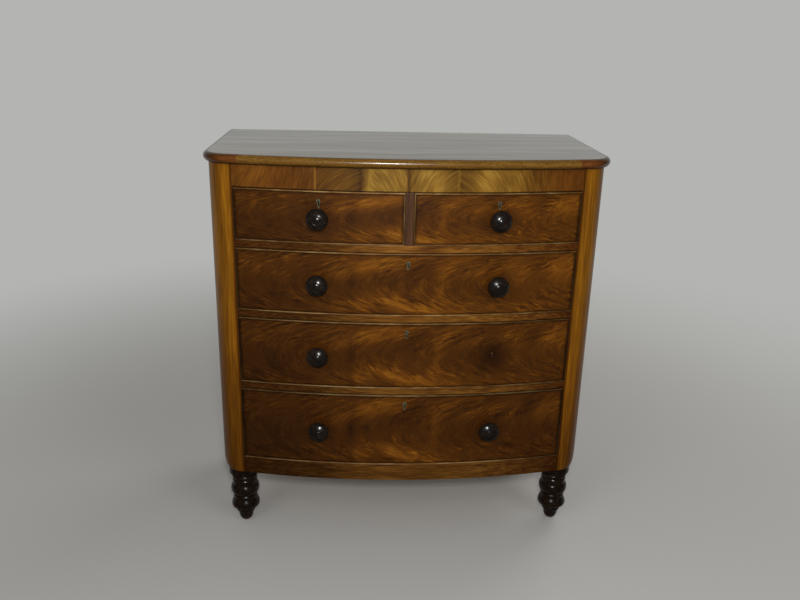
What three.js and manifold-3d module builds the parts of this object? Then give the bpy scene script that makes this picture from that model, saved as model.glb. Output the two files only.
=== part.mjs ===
// A bow front chest of drawers: two short drawers over three long ones, in a carcase on four turned feet.
// Lengths are in millimetres. X runs to the right, Y to the back and Z up, and the drawers pull out along -Y.
import * as THREE from "three";
import { mergeVertices } from "three/addons/utils/BufferGeometryUtils.js";
import Module from "manifold-3d";

const wasm = await Module();
wasm.setup();

// Carcase: the depth is taken at the corners, and the front bows out from there
const BODY_WIDTH = 1150;
const BODY_DEPTH = 505;
const BOW_RISE = 70;
const STILE_WIDTH = 74;
const STILE_DEPTH = 60;
const CORNER_RADIUS = 72;
const TOE_INSET = 12;
const TOE_HEIGHT = 38;
const SIDE_THICKNESS = 20;
const BACK_THICKNESS = 10;
const BOTTOM_RAIL_HEIGHT = 55.5;
const FRIEZE_HEIGHT = 67.5;
const RAIL_THICKNESS = 22;
const DUSTBOARD_THICKNESS = 12;
const PARTITION_THICKNESS = 24;
const GUIDE_HEIGHT = 20;
const CORNER_BLOCK = 95;

// Top board with its rounded nosing
const TOP_THICKNESS = 27;
const TOP_OVERHANG_SIDE = 12;
const TOP_OVERHANG_FRONT = 27;
const TOP_BOW_RISE = 65;
const TOP_CORNER_RADIUS = 88;
const NOSING_DEPTH = 9;

// Turned feet, placed by their axes
const FOOT_HEIGHT = 210;
const FOOT_RADIUS = 45.5;
const FOOT_FROM_SIDE = 63;
const FOOT_FROM_FRONT = 40;
const FOOT_FROM_BACK = 55;

// Drawers
const SHORT_HEIGHT = 152;
const UPPER_HEIGHT = 189;
const MIDDLE_HEIGHT = 210;
const LOWER_HEIGHT = 239;
const DRAWER_GAP = 1;
const FRONT_THICKNESS = 24;
const BEAD_WIDTH = 3.5;
const BEAD_PROUD = 2.5;
const BEAD_SEAT = 6.5;
const LINING_THICKNESS = 11;
const LINING_INSET = 0.5;
const LINING_DROP = 5;
const DRAWER_BACK_THICKNESS = 10;
const DRAWER_BACK_DROP = 12;
const DRAWER_BOTTOM_THICKNESS = 7;
const DRAWER_BOTTOM_RAISE = 9;
const GROOVE_DEPTH = 4;
const REAR_GAP = 3;

// Knobs, whose stems go through the drawer fronts
const KNOB_RADIUS = 32;
const KNOB_PROJECTION = 45;
const KNOB_FROM_MIDDLE = 260;
const STEM_RADIUS = 8.5;
const STEM_END = 5;
const STUB_PROUD = 1.6;

// Locks, each with a keyhole liner that reaches the drawer's face
const LOCK_WIDTH = 62;
const LOCK_HEIGHT = 46;
const LOCK_DEPTH = 10;
const KEYHOLE_FROM_TOP = 35;
const KEYHOLE_LENGTH = 24;
const KEYHOLE_WIDTH = 12;
const KEYHOLE_WALL = 2.4;
const KEYHOLE_PROUD = 0.6;
const KEY_REACH = 5;

// Clearances, overruns for cuts and joins, and how finely curves are divided
const SEAT_GAP = 0.3;
const OVERRUN = 10;
const LAP = 1;
const BOW_STEP = 65;
const CORNER_SEGMENTS = 8;
const TOE_SEGMENTS = 3;
const NOSING_SEGMENTS = 8;
const KEYHOLE_SEGMENTS = 8;
const KNOB_SEGMENTS = 20;
const FOOT_SEGMENTS = 20;

// Turned outlines: the first value is a share of the radius, the second a share of the length
const FOOT_SHARES = [
  [0, 0], [0.264, 0], [0.429, 0.048], [0.505, 0.095], [0.56, 0.157], [0.593, 0.171], [0.901, 0.224],
  [0.978, 0.238], [0.993, 0.276], [0.978, 0.31], [0.835, 0.381], [0.769, 0.419], [0.769, 0.476],
  [0.824, 0.505], [0.923, 0.533], [1, 0.59], [0.901, 0.69], [0.813, 0.729], [0.868, 0.762], [0.868, 1],
  [0, 1],
];
const KNOB_SHARES = [
  [0.56, 0], [0.56, 0.09], [0.44, 0.15], [0.4, 0.24], [0.54, 0.36], [0.84, 0.46], [1, 0.59],
  [0.96, 0.75], [0.79, 0.88], [0.46, 0.97], [0, 1],
];

// Sizes that follow from those above
const halfWidth = BODY_WIDTH / 2;
const openingHalf = halfWidth - STILE_WIDTH;
const innerHalf = halfWidth - SIDE_THICKNESS;
const railBack = STILE_DEPTH - BODY_DEPTH;
const innerBack = -BACK_THICKNESS;
const bowRadius = (halfWidth ** 2 + BOW_RISE ** 2) / (2 * BOW_RISE);
const bowCentreY = bowRadius - BODY_DEPTH - BOW_RISE;
const drawerHalf = openingHalf - DRAWER_GAP;
const shortInnerEdge = PARTITION_THICKNESS / 2 + DRAWER_GAP;

// Heights, from the floor up: each drawer stands on the rail below it
const lowerFloor = FOOT_HEIGHT + BOTTOM_RAIL_HEIGHT;
const lowerTop = lowerFloor + LOWER_HEIGHT + 2 * DRAWER_GAP;
const middleFloor = lowerTop + RAIL_THICKNESS;
const middleTop = middleFloor + MIDDLE_HEIGHT + 2 * DRAWER_GAP;
const upperFloor = middleTop + RAIL_THICKNESS;
const upperTop = upperFloor + UPPER_HEIGHT + 2 * DRAWER_GAP;
const shortFloor = upperTop + RAIL_THICKNESS;
const shortTop = shortFloor + SHORT_HEIGHT + 2 * DRAWER_GAP;
const bodyTop = shortTop + FRIEZE_HEIGHT;
const drawerFloors = [lowerFloor, middleFloor, upperFloor, shortFloor];

// Colours and gloss of the woods and the metal
const FINISHES = {
  flameMahogany: { color: 0x5e3a20, roughness: 0.35, metalness: 0 },
  stileMahogany: { color: 0x74491a, roughness: 0.35, metalness: 0 },
  topMahogany: { color: 0x6a4426, roughness: 0.3, metalness: 0 },
  railMahogany: { color: 0x69502a, roughness: 0.4, metalness: 0 },
  beadMahogany: { color: 0x94805c, roughness: 0.4, metalness: 0 },
  ebonised: { color: 0x1e140f, roughness: 0.2, metalness: 0 },
  pine: { color: 0xa88352, roughness: 0.7, metalness: 0 },
  brass: { color: 0x8a7a45, roughness: 0.4, metalness: 1 },
};

// The closed solid of a geometry, and the geometry of a solid
function solidOf(geometry) {
  const bare = geometry.clone();
  bare.deleteAttribute("normal");
  bare.deleteAttribute("uv");
  const merged = mergeVertices(bare);
  const mesh = new wasm.Mesh({
    numProp: 3,
    vertProperties: merged.attributes.position.array,
    triVerts: new Uint32Array(merged.index.array),
  });
  return new wasm.Manifold(mesh);
}

function geometryOf(solid) {
  const mesh = solid.getMesh();
  const geometry = new THREE.BufferGeometry();
  geometry.setAttribute("position", new THREE.BufferAttribute(mesh.vertProperties, mesh.numProp));
  geometry.setIndex(new THREE.BufferAttribute(mesh.triVerts, 1));
  geometry.computeVertexNormals();
  return geometry;
}

// The first geometry with the others joined to it or cut from it
function join(base, ...added) {
  return geometryOf(added.reduce((solid, other) => solid.add(solidOf(other)), solidOf(base)));
}

function cut(base, ...removed) {
  return geometryOf(removed.reduce((solid, other) => solid.subtract(solidOf(other)), solidOf(base)));
}

// A rectangular board between two corners
function board(x0, x1, y0, y1, z0, z1) {
  const geometry = new THREE.BoxGeometry(Math.abs(x1 - x0), y1 - y0, z1 - z0);
  return geometry.translate((x0 + x1) / 2, (y0 + y1) / 2, (z0 + z1) / 2);
}

// A board sawn to a plan outline, from one height to another
function sawn(points, z0, z1) {
  const shape = new THREE.Shape(points);
  return new THREE.ExtrudeGeometry(shape, { depth: z1 - z0, bevelEnabled: false }).translate(0, 0, z0);
}

// Plan outlines of one point count, each at its own height, joined into one solid
function stacked(sections) {
  const count = sections[0].points.length;
  const last = sections.length - 1;
  const positions = sections.flatMap(({ z, points }) => points.flatMap((point) => [point.x, point.y, z]));
  const triangles = [];
  for (let level = 0; level < last; level++) {
    for (let i = 0; i < count; i++) {
      const here = level * count + i;
      const next = level * count + ((i + 1) % count);
      triangles.push(here, next, next + count, here, next + count, here + count);
    }
  }
  for (const [a, b, c] of THREE.ShapeUtils.triangulateShape(sections[0].points, [])) {
    triangles.push(c, b, a);
  }
  for (const [a, b, c] of THREE.ShapeUtils.triangulateShape(sections[last].points, [])) {
    triangles.push(a + last * count, b + last * count, c + last * count);
  }
  const geometry = new THREE.BufferGeometry();
  geometry.setAttribute("position", new THREE.Float32BufferAttribute(positions, 3));
  geometry.setIndex(triangles);
  geometry.computeVertexNormals();
  return geometry;
}

// The line of the bowed front at x, moved towards the back by an inset
function bowY(x, inset = 0) {
  return bowCentreY - Math.sqrt((bowRadius - inset) ** 2 - x ** 2);
}

function bowLine(x0, x1, inset = 0) {
  const steps = Math.max(1, Math.ceil(Math.abs(x1 - x0) / BOW_STEP));
  return Array.from({ length: steps + 1 }, (_, i) => {
    const x = x0 + ((x1 - x0) * i) / steps;
    return new THREE.Vector2(x, bowY(x, inset));
  });
}

// A curved slab between two insets from the bowed front, and a board with a bowed front and a straight back
function bowedSlab(x0, x1, z0, z1, frontInset, backInset) {
  return sawn([...bowLine(x0, x1, frontInset), ...bowLine(x1, x0, backInset)], z0, z1);
}

function bowedBoard(x0, x1, backY, z0, z1, inset = 0) {
  const back = [new THREE.Vector2(x1, backY), new THREE.Vector2(x0, backY)];
  return sawn([...bowLine(x0, x1, inset), ...back], z0, z1);
}

// Points of an arc, its ends included, between two angles in radians
function arc(centreX, centreY, radius, from, to, segments) {
  return Array.from({ length: segments + 1 }, (_, i) => {
    const angle = from + ((to - from) * i) / segments;
    return new THREE.Vector2(centreX + radius * Math.cos(angle), centreY + radius * Math.sin(angle));
  });
}

// The rounded corner that runs from a bow of a given radius and centre into a side at x = half
function bowedCorner(half, radius, arcRadius, arcCentreY) {
  const centreX = half - radius;
  const centreY = arcCentreY - Math.sqrt((arcRadius - radius) ** 2 - centreX ** 2);
  const start = Math.atan2(centreY - arcCentreY, centreX);
  return arc(centreX, centreY, radius, start, 0, CORNER_SEGMENTS);
}

const mirrored = (points) => points.map((point) => new THREE.Vector2(-point.x, point.y)).reverse();

// How far the body's lower outer edge turns in, from the bottom up to where it is upright
const toe = Array.from({ length: TOE_SEGMENTS + 1 }, (_, i) => {
  const angle = ((Math.PI / 2) * i) / TOE_SEGMENTS;
  return { inset: TOE_INSET * (1 - Math.sin(angle)), z: FOOT_HEIGHT + TOE_HEIGHT * (1 - Math.cos(angle)) };
});

// A corner stile: flat inside, bowed in front, rounded outside, and turned in at its foot
function stile(side) {
  const plan = (inset) => {
    const cornerRadius = Math.min(CORNER_RADIUS, STILE_WIDTH - inset - LAP);
    const corner = bowedCorner(halfWidth - inset, cornerRadius, bowRadius, bowCentreY);
    const points = [
      new THREE.Vector2(openingHalf, railBack),
      ...bowLine(openingHalf, corner[0].x).slice(0, -1),
      ...corner,
      new THREE.Vector2(halfWidth - inset, railBack),
    ];
    return side > 0 ? points : mirrored(points);
  };
  const sections = toe.map(({ inset, z }) => ({ z, points: plan(inset) }));
  return stacked([...sections, { z: bodyTop, points: plan(0) }]);
}

// A carcase side: a panel with the turned-in lower edge, and the guides that keep the drawers square
function carcaseSide(side) {
  const outline = [
    new THREE.Vector2(innerHalf, FOOT_HEIGHT),
    ...toe.map(({ inset, z }) => new THREE.Vector2(halfWidth - inset, z)),
    new THREE.Vector2(halfWidth, bodyTop),
    new THREE.Vector2(innerHalf, bodyTop),
  ];
  const points = side > 0 ? outline : mirrored(outline);
  const panel = sawn(points, 0, -railBack).rotateX(Math.PI / 2);
  const guides = drawerFloors.map((z) => {
    const edges = [side * openingHalf, side * (innerHalf + LAP)].sort((a, b) => a - b);
    return board(...edges, railBack, innerBack - SEAT_GAP, z, z + GUIDE_HEIGHT);
  });
  return join(panel, ...guides);
}

// A mahogany rail with a pine board glued behind it, whose lower face is at boardZ
function backedRail(z0, z1, boardZ) {
  const rail = bowedBoard(-openingHalf, openingHalf, railBack + LAP, z0, z1);
  return join(rail, board(-innerHalf, innerHalf, railBack, innerBack, boardZ, boardZ + DUSTBOARD_THICKNESS));
}

// A drawer divider, whose dustboard the drawer above runs on
function divider(top) {
  return backedRail(top - RAIL_THICKNESS, top, top - DUSTBOARD_THICKNESS);
}

// The bottom board, with the glue blocks that the feet are fixed to
function bottomBoard() {
  const underside = lowerFloor - DUSTBOARD_THICKNESS;
  const blocks = [];
  for (const side of [-1, 1]) {
    const edges = [side * innerHalf, side * (innerHalf - CORNER_BLOCK)].sort((a, b) => a - b);
    for (const y of [railBack, innerBack - CORNER_BLOCK]) {
      blocks.push(board(...edges, y, y + CORNER_BLOCK, FOOT_HEIGHT, underside + LAP));
    }
  }
  return join(board(-innerHalf, innerHalf, railBack, innerBack, underside, lowerFloor), ...blocks);
}

// The top: square at the back, its other edges rounded to a nosing
function topBoard() {
  const half = halfWidth + TOP_OVERHANG_SIDE;
  const front = BODY_DEPTH + TOP_OVERHANG_FRONT + TOP_BOW_RISE;
  const radius = (half ** 2 + TOP_BOW_RISE ** 2) / (2 * TOP_BOW_RISE);
  const centreY = radius - front;
  const plan = (inset) => {
    const cornerRadius = Math.max(TOP_CORNER_RADIUS, NOSING_DEPTH + LAP) - inset;
    const corner = bowedCorner(half - inset, cornerRadius, radius - inset, centreY);
    const reach = corner[0].x;
    const steps = Math.ceil((2 * reach) / BOW_STEP);
    const bow = Array.from({ length: steps - 1 }, (_, i) => {
      const x = reach * ((2 * (i + 1)) / steps - 1);
      return new THREE.Vector2(x, centreY - Math.sqrt((radius - inset) ** 2 - x ** 2));
    });
    const right = [...corner, new THREE.Vector2(half - inset, 0)];
    return [...mirrored(right), ...bow, ...right];
  };
  const sections = Array.from({ length: NOSING_SEGMENTS + 1 }, (_, i) => {
    const angle = (Math.PI * i) / NOSING_SEGMENTS;
    const z = bodyTop + (TOP_THICKNESS * (1 - Math.cos(angle))) / 2;
    return { z, points: plan(NOSING_DEPTH * (1 - Math.sin(angle))) };
  });
  return stacked(sections);
}

// A turned shape about the upright axis, standing on zero
function turned(shares, radius, length, segments) {
  const points = shares.map(([across, along]) => new THREE.Vector2(across * radius, along * length));
  return new THREE.LatheGeometry(points, segments).rotateX(Math.PI / 2);
}

// A stem turned with what it carries, in a frame whose -Y points out of the drawer and whose zero is its face
function onStem(head) {
  const inner = -FRONT_THICKNESS - STEM_END;
  const stem = [new THREE.Vector2(0, inner), new THREE.Vector2(STEM_RADIUS, inner)];
  return new THREE.LatheGeometry([...stem, ...head], KNOB_SEGMENTS).rotateX(Math.PI);
}

function knob() {
  const head = KNOB_SHARES.map(
    ([across, along]) => new THREE.Vector2(across * KNOB_RADIUS, SEAT_GAP + along * KNOB_PROJECTION),
  );
  return onStem([new THREE.Vector2(STEM_RADIUS, SEAT_GAP), ...head]);
}

// What is left where a knob broke off: the stem in its hole, with a blunt end just proud of the face
function knobStub() {
  const shoulder = new THREE.Vector2(STEM_RADIUS, STUB_PROUD / 2);
  const blunt = new THREE.Vector2(STEM_RADIUS - STUB_PROUD, STUB_PROUD);
  return onStem([shoulder, blunt, new THREE.Vector2(0, STUB_PROUD)]);
}

function stemHole() {
  const radius = STEM_RADIUS + SEAT_GAP;
  const length = FRONT_THICKNESS + 2 * OVERRUN;
  const hole = new THREE.CylinderGeometry(radius, radius, length, KNOB_SEGMENTS);
  return hole.translate(0, FRONT_THICKNESS / 2, 0);
}

// A keyhole's outline, round at the top, moved outwards by a margin, and sunk from one depth to another
function keyhole(margin, from, to) {
  const head = KEYHOLE_WIDTH / 2 - KEYHOLE_WALL + margin;
  const slot = head / 2;
  const top = KEYHOLE_LENGTH / 2 - KEYHOLE_WALL + margin;
  const lean = Math.asin(slot / head);
  const round = arc(0, top - head, head, lean - Math.PI / 2, (3 * Math.PI) / 2 - lean, KEYHOLE_SEGMENTS);
  const points = [...round, new THREE.Vector2(-slot, -top), new THREE.Vector2(slot, -top)];
  return sawn(points, 0, to - from).rotateX(Math.PI / 2).translate(0, to, 0);
}

// A lock: its case on the back of the front, and the liner that shows round the keyhole
function lock() {
  const inner = FRONT_THICKNESS + SEAT_GAP + (LOCK_WIDTH / 2) ** 2 / (2 * (bowRadius - FRONT_THICKNESS));
  const half = LOCK_WIDTH / 2;
  const lockCase = board(-half, half, inner, inner + LOCK_DEPTH, -LOCK_HEIGHT / 2, LOCK_HEIGHT / 2);
  const liner = keyhole(KEYHOLE_WALL, -KEYHOLE_PROUD, inner + LAP);
  return cut(join(lockCase, liner), keyhole(0, -OVERRUN, inner + KEY_REACH));
}

// The place of a fitting on the bowed front, square to the surface
function onFront(object, x, z) {
  object.position.set(x, bowY(x), z);
  object.rotation.z = Math.asin(x / bowRadius);
  object.updateMatrix();
  return object;
}

// A drawer front: a slab with a rebate round its face for the bead, bored for stems and lock
function drawerFront(x0, x1, z0, z1, stems, lockPlace) {
  const edge = BEAD_WIDTH + SEAT_GAP;
  const rebate = BEAD_SEAT + SEAT_GAP;
  const back = bowedSlab(x0, x1, z0, z1, rebate, FRONT_THICKNESS);
  const face = bowedSlab(x0 + edge, x1 - edge, z0 + edge, z1 - edge, 0, rebate + LAP);
  const cutters = stems.map(([x, z]) => onFront(new THREE.Mesh(stemHole()), x, z));
  const linerHole = keyhole(KEYHOLE_WALL + SEAT_GAP, -OVERRUN, FRONT_THICKNESS + OVERRUN);
  cutters.push(onFront(new THREE.Mesh(linerHole), ...lockPlace));
  return cut(join(back, face), ...cutters.map((cutter) => cutter.geometry.applyMatrix4(cutter.matrix)));
}

// The cock bead: a frame let into the rebate, standing proud of the face
function cockBead(x0, x1, z0, z1) {
  const outer = bowedSlab(x0, x1, z0, z1, -BEAD_PROUD, BEAD_SEAT);
  const window = [x0 + BEAD_WIDTH, x1 - BEAD_WIDTH, z0 + BEAD_WIDTH, z1 - BEAD_WIDTH];
  return cut(outer, bowedSlab(...window, -BEAD_PROUD - OVERRUN, BEAD_SEAT + OVERRUN));
}

const chest = new THREE.Group();

function place(name, geometry, finish) {
  const mesh = new THREE.Mesh(geometry, new THREE.MeshStandardMaterial(FINISHES[finish]));
  mesh.name = name;
  chest.add(mesh);
  return mesh;
}

// One drawer between two edges, standing on the rail at height floor, with what its stem holes carry
function drawer(name, x0, x1, floor, height, fittings) {
  const z0 = floor + DRAWER_GAP;
  const z1 = z0 + height;
  const knobZ = (z0 + z1) / 2;
  const stems = fittings.map(({ x }) => [x, knobZ]);
  const lockPlace = [(x0 + x1) / 2, z1 - KEYHOLE_FROM_TOP];
  place(name + "_front", drawerFront(x0, x1, z0, z1, stems, lockPlace), "flameMahogany");
  place(name + "_cock_bead", cockBead(x0, x1, z0, z1), "beadMahogany");
  onFront(place(name + "_lock", lock(), "brass"), ...lockPlace);
  for (const { label, x, shape } of fittings) {
    onFront(place(name + "_" + label, shape(), "ebonised"), x, knobZ);
  }

  const inset = FRONT_THICKNESS + SEAT_GAP;
  const rear = innerBack - REAR_GAP;
  const bottom0 = floor + SEAT_GAP + DRAWER_BOTTOM_RAISE;
  const bottom1 = bottom0 + DRAWER_BOTTOM_THICKNESS;
  const outer = [x0 + LINING_INSET, x1 - LINING_INSET];
  const inner = [outer[0] + LINING_THICKNESS, outer[1] - LINING_THICKNESS];
  const bottomEdges = [inner[0] - GROOVE_DEPTH, inner[1] + GROOVE_DEPTH];
  const groove = board(
    bottomEdges[0] - SEAT_GAP,
    bottomEdges[1] + SEAT_GAP,
    -BODY_DEPTH - BOW_RISE,
    0,
    bottom0 - SEAT_GAP,
    bottom1 + SEAT_GAP,
  );
  for (const [label, edges] of [["left", [outer[0], inner[0]]], ["right", [inner[1], outer[1]]]]) {
    const lining = bowedBoard(...edges, rear, floor + SEAT_GAP, z1 - LINING_DROP, inset);
    place(name + "_side_" + label, cut(lining, groove), "pine");
  }
  place(name + "_bottom", bowedBoard(...bottomEdges, rear, bottom0, bottom1, inset), "pine");
  const back = [inner[0] + SEAT_GAP, inner[1] - SEAT_GAP, rear - DRAWER_BACK_THICKNESS, rear];
  place(name + "_back", board(...back, bottom1 + SEAT_GAP, z1 - LINING_DROP - DRAWER_BACK_DROP), "pine");
}

// The carcase
place("top_board", topBoard(), "topMahogany");
for (const [label, side] of [["left", -1], ["right", 1]]) {
  place("side_" + label, carcaseSide(side), "stileMahogany");
  place("stile_" + label, stile(side), "stileMahogany");
}
place("frieze_rail", backedRail(shortTop, bodyTop, shortTop), "stileMahogany");
place("divider_under_short_drawers", divider(shortFloor), "railMahogany");
place("divider_under_upper_drawer", divider(upperFloor), "railMahogany");
place("divider_under_middle_drawer", divider(middleFloor), "railMahogany");
const bottomRail = bowedBoard(-openingHalf, openingHalf, railBack, FOOT_HEIGHT, lowerFloor);
place("bottom_rail", bottomRail, "railMahogany");
place("bottom_board", bottomBoard(), "pine");
place("back_panel", board(-innerHalf, innerHalf, innerBack, 0, FOOT_HEIGHT, bodyTop), "pine");
const partitionHalf = PARTITION_THICKNESS / 2;
const partition = bowedBoard(-partitionHalf, partitionHalf, innerBack, shortFloor, shortTop);
place("partition", partition, "railMahogany");

// The feet
const footX = halfWidth - FOOT_FROM_SIDE;
for (const [row, y] of [["front", FOOT_FROM_FRONT - BODY_DEPTH], ["back", -FOOT_FROM_BACK]]) {
  for (const [label, side] of [["left", -1], ["right", 1]]) {
    const foot = turned(FOOT_SHARES, FOOT_RADIUS, FOOT_HEIGHT, FOOT_SEGMENTS);
    place("foot_" + row + "_" + label, foot, "ebonised").position.set(side * footX, y, 0);
  }
}

// The drawers: the middle long one has lost its right knob
for (const [name, x0, x1] of [
  ["short_left", -drawerHalf, -shortInnerEdge],
  ["short_right", shortInnerEdge, drawerHalf],
]) {
  drawer(name, x0, x1, shortFloor, SHORT_HEIGHT, [{ label: "knob", x: (x0 + x1) / 2, shape: knob }]);
}
for (const [name, floor, height, onRight] of [
  ["upper", upperFloor, UPPER_HEIGHT, { label: "knob_right", shape: knob }],
  ["middle", middleFloor, MIDDLE_HEIGHT, { label: "knob_stub", shape: knobStub }],
  ["lower", lowerFloor, LOWER_HEIGHT, { label: "knob_right", shape: knob }],
]) {
  const onLeft = { label: "knob_left", x: -KNOB_FROM_MIDDLE, shape: knob };
  const fittings = [onLeft, { ...onRight, x: KNOB_FROM_MIDDLE }];
  drawer(name, -drawerHalf, drawerHalf, floor, height, fittings);
}

// The chest stands on zero, with the middle of its whole outline over the origin
const bounds = new THREE.Box3().setFromObject(chest, true);
chest.position.y = -(bounds.min.y + bounds.max.y) / 2;

export default chest;
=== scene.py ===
"""A bow front chest of drawers in flame mahogany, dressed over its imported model.

Lengths are in metres in the model's own frame: X runs to the right, Y to the back and Z up from the floor.
Each piece is a surface worked out with numpy, and each finish is named for what the real one is and how it
was worked.
"""

import logging
import math
from dataclasses import dataclass, field
from enum import Enum

import bmesh
import bpy
import numpy as np
from mathutils import Matrix, Vector


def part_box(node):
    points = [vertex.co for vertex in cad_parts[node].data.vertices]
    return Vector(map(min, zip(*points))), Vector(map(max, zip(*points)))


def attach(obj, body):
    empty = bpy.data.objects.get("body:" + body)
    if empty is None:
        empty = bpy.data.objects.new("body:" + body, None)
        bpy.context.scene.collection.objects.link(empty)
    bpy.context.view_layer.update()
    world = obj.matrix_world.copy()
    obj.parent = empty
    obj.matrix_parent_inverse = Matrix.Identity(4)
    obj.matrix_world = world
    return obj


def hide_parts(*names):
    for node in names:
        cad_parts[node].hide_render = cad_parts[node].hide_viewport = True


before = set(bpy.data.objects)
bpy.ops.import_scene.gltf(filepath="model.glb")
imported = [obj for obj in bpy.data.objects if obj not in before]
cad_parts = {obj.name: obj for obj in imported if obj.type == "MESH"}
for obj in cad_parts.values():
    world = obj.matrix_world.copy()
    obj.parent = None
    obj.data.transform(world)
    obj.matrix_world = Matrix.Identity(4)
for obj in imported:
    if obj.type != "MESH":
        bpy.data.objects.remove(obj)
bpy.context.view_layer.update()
MM = 0.001
FIT = 0.3 * MM  # Play left between glued pieces
ON_EDGE = 0.01 * MM  # Slack when a face is told by its place
SMOOTH_BELOW = math.radians(32)  # Faces that meet at less than this are shaded as one
DIVIDERS = ("divider_under_short_drawers", "divider_under_upper_drawer", "divider_under_middle_drawer")
LOWER_EDGES = tuple(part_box(node)[0].z for node in ("frieze_rail", *DIVIDERS))  # Heights of the lower edges over each row of drawers
EDGE_SHADE = 2.8 * MM  # Height of the painted shadow line over each of them

log = logging.getLogger("chest")

Array = np.ndarray
Feed = bpy.types.Node | bpy.types.NodeSocket | float | tuple
Pairs = tuple[tuple[float, float], ...]
Stops = tuple[tuple[float, str], ...]


# Sizes


@dataclass(frozen=True)
class Plan:
    """The sizes that several sub-assemblies share, as the model has them."""

    half_width: float = 0.575
    opening_half: float = 0.501
    inner_half: float = 0.555
    depth: float = 0.505
    bow_rise: float = 0.070
    rail_depth: float = 0.060
    rail: float = 0.022
    dustboard: float = 0.012
    corner: float = 0.072
    stile_width: float = 0.074
    back_board: float = 0.010
    toe_inset: float = 0.012
    toe_height: float = 0.038
    foot_height: float = 0.210
    body_top: float = 1.197
    back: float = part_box("back_panel")[1].y

    @property
    def radius(self) -> float:
        """Radius of the bowed front: half the chord squared plus the rise squared, over twice the rise."""
        return (self.half_width**2 + self.bow_rise**2) / (2 * self.bow_rise)

    @property
    def centre(self) -> float:
        """Y of the bow's axis."""
        return self.back + self.radius - self.depth - self.bow_rise

    @property
    def rail_back(self) -> float:
        """Y of the rails' and stiles' back."""
        return self.back - self.depth + self.rail_depth

    def bow(self, x: Array | float, inset: Array | float = 0.0) -> Array:
        """Y of the front at x: the centre minus the root of r squared less x squared. The inset comes off r.

        Args:
            x: Place across the chest.
            inset: Depth behind the face, square to it.

        Returns:
            Y at each x.
        """
        return self.centre - np.sqrt((self.radius - inset) ** 2 - np.asarray(x) ** 2)


PLAN = Plan()


# Meshes


def grid_faces(rows: int, cols: int, wrap_rows: bool = False, wrap_cols: bool = False) -> Array:
    """Quads between neighbouring points of a grid that is numbered row by row.

    Args:
        rows: Number of rows.
        cols: Number of columns.
        wrap_rows: Whether the last row joins the first.
        wrap_cols: Whether the last column joins the first.

    Returns:
        An array of point numbers, four to a face.
    """
    down = np.arange(rows if wrap_rows else rows - 1)
    along = np.arange(cols if wrap_cols else cols - 1)
    a, b = np.meshgrid(down, along, indexing="ij")
    a1, b1 = (a + 1) % rows, (b + 1) % cols
    return np.stack([a * cols + b, a1 * cols + b, a1 * cols + b1, a * cols + b1], -1).reshape(-1, 4)


@dataclass
class Shell:
    """Grids and caps that together close one or more solids."""

    points: list[Array] = field(default_factory=list)
    faces: list[list[int]] = field(default_factory=list)
    count: int = 0

    def grid(self, xyz: Array, wrap_rows: bool = False, wrap_cols: bool = False) -> "Shell":
        """Adds a surface whose points lie on a grid.

        Args:
            xyz: Points, as rows by columns by three.
            wrap_rows: Whether the last row joins the first.
            wrap_cols: Whether the last column joins the first.

        Returns:
            The shell itself.
        """
        rows, cols = xyz.shape[:2]
        self.faces += (grid_faces(rows, cols, wrap_rows, wrap_cols) + self.count).tolist()
        self.points.append(xyz.reshape(-1, 3))
        self.count += rows * cols
        return self

    def cap(self, xyz: Array) -> "Shell":
        """Adds one flat face through the given points.

        Args:
            xyz: The points, three columns.

        Returns:
            The shell itself.
        """
        self.faces.append(list(range(self.count, self.count + len(xyz))))
        self.points.append(xyz)
        self.count += len(xyz)
        return self

    def tube(self, xyz: Array) -> "Shell":
        """Adds a surface closed along its columns, with a flat face over its first and its last row."""
        return self.grid(xyz, wrap_cols=True).cap(xyz[0]).cap(xyz[-1])

    def box(self, x0: float, x1: float, y0: float, y1: float, z0: float, z1: float) -> "Shell":
        """Adds a rectangular board between two corners."""
        return self.tube(drawn_out(oblong(x0, x1, z0, z1), (y0, y1)))

    def mesh(self, name: str) -> bpy.types.Mesh:
        """Makes the mesh: doubles merged, faces turned outwards, and smooth but for its real edges.

        Args:
            name: The mesh's name.

        Returns:
            The mesh.
        """
        made = bpy.data.meshes.new(name)
        made.from_pydata(np.concatenate(self.points).tolist(), [], self.faces)
        work = bmesh.new()
        work.from_mesh(made)
        bmesh.ops.remove_doubles(work, verts=work.verts, dist=0.002 * MM)
        bmesh.ops.dissolve_degenerate(work, edges=work.edges, dist=0.0001 * MM)
        bmesh.ops.recalc_face_normals(work, faces=work.faces)
        work.to_mesh(made)
        work.free()
        return smoothed(made)


def smoothed(mesh: bpy.types.Mesh) -> bpy.types.Mesh:
    """Shades a mesh smooth but for its real edges.

    Args:
        mesh: The mesh.

    Returns:
        The same mesh.
    """
    mesh.shade_smooth()
    mesh.set_sharp_from_angle(angle=SMOOTH_BELOW)
    return mesh


def points_of(mesh: bpy.types.Mesh) -> Array:
    """Reads where a mesh's points are.

    Args:
        mesh: The mesh.

    Returns:
        Three columns, a row for each point.
    """
    out = np.empty(len(mesh.vertices) * 3)
    mesh.vertices.foreach_get("co", out)
    return out.reshape(-1, 3)


def write_vectors(mesh: bpy.types.Mesh, name: str, values: Array) -> None:
    """Keeps three numbers at each point of the mesh, for a material to read.

    Args:
        mesh: The mesh.
        name: The attribute's name.
        values: Three columns, one row a point.
    """
    kept = mesh.attributes.new(name, "FLOAT_VECTOR", "POINT")
    kept.data.foreach_set("vector", np.ascontiguousarray(values, np.float32).ravel())


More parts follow.
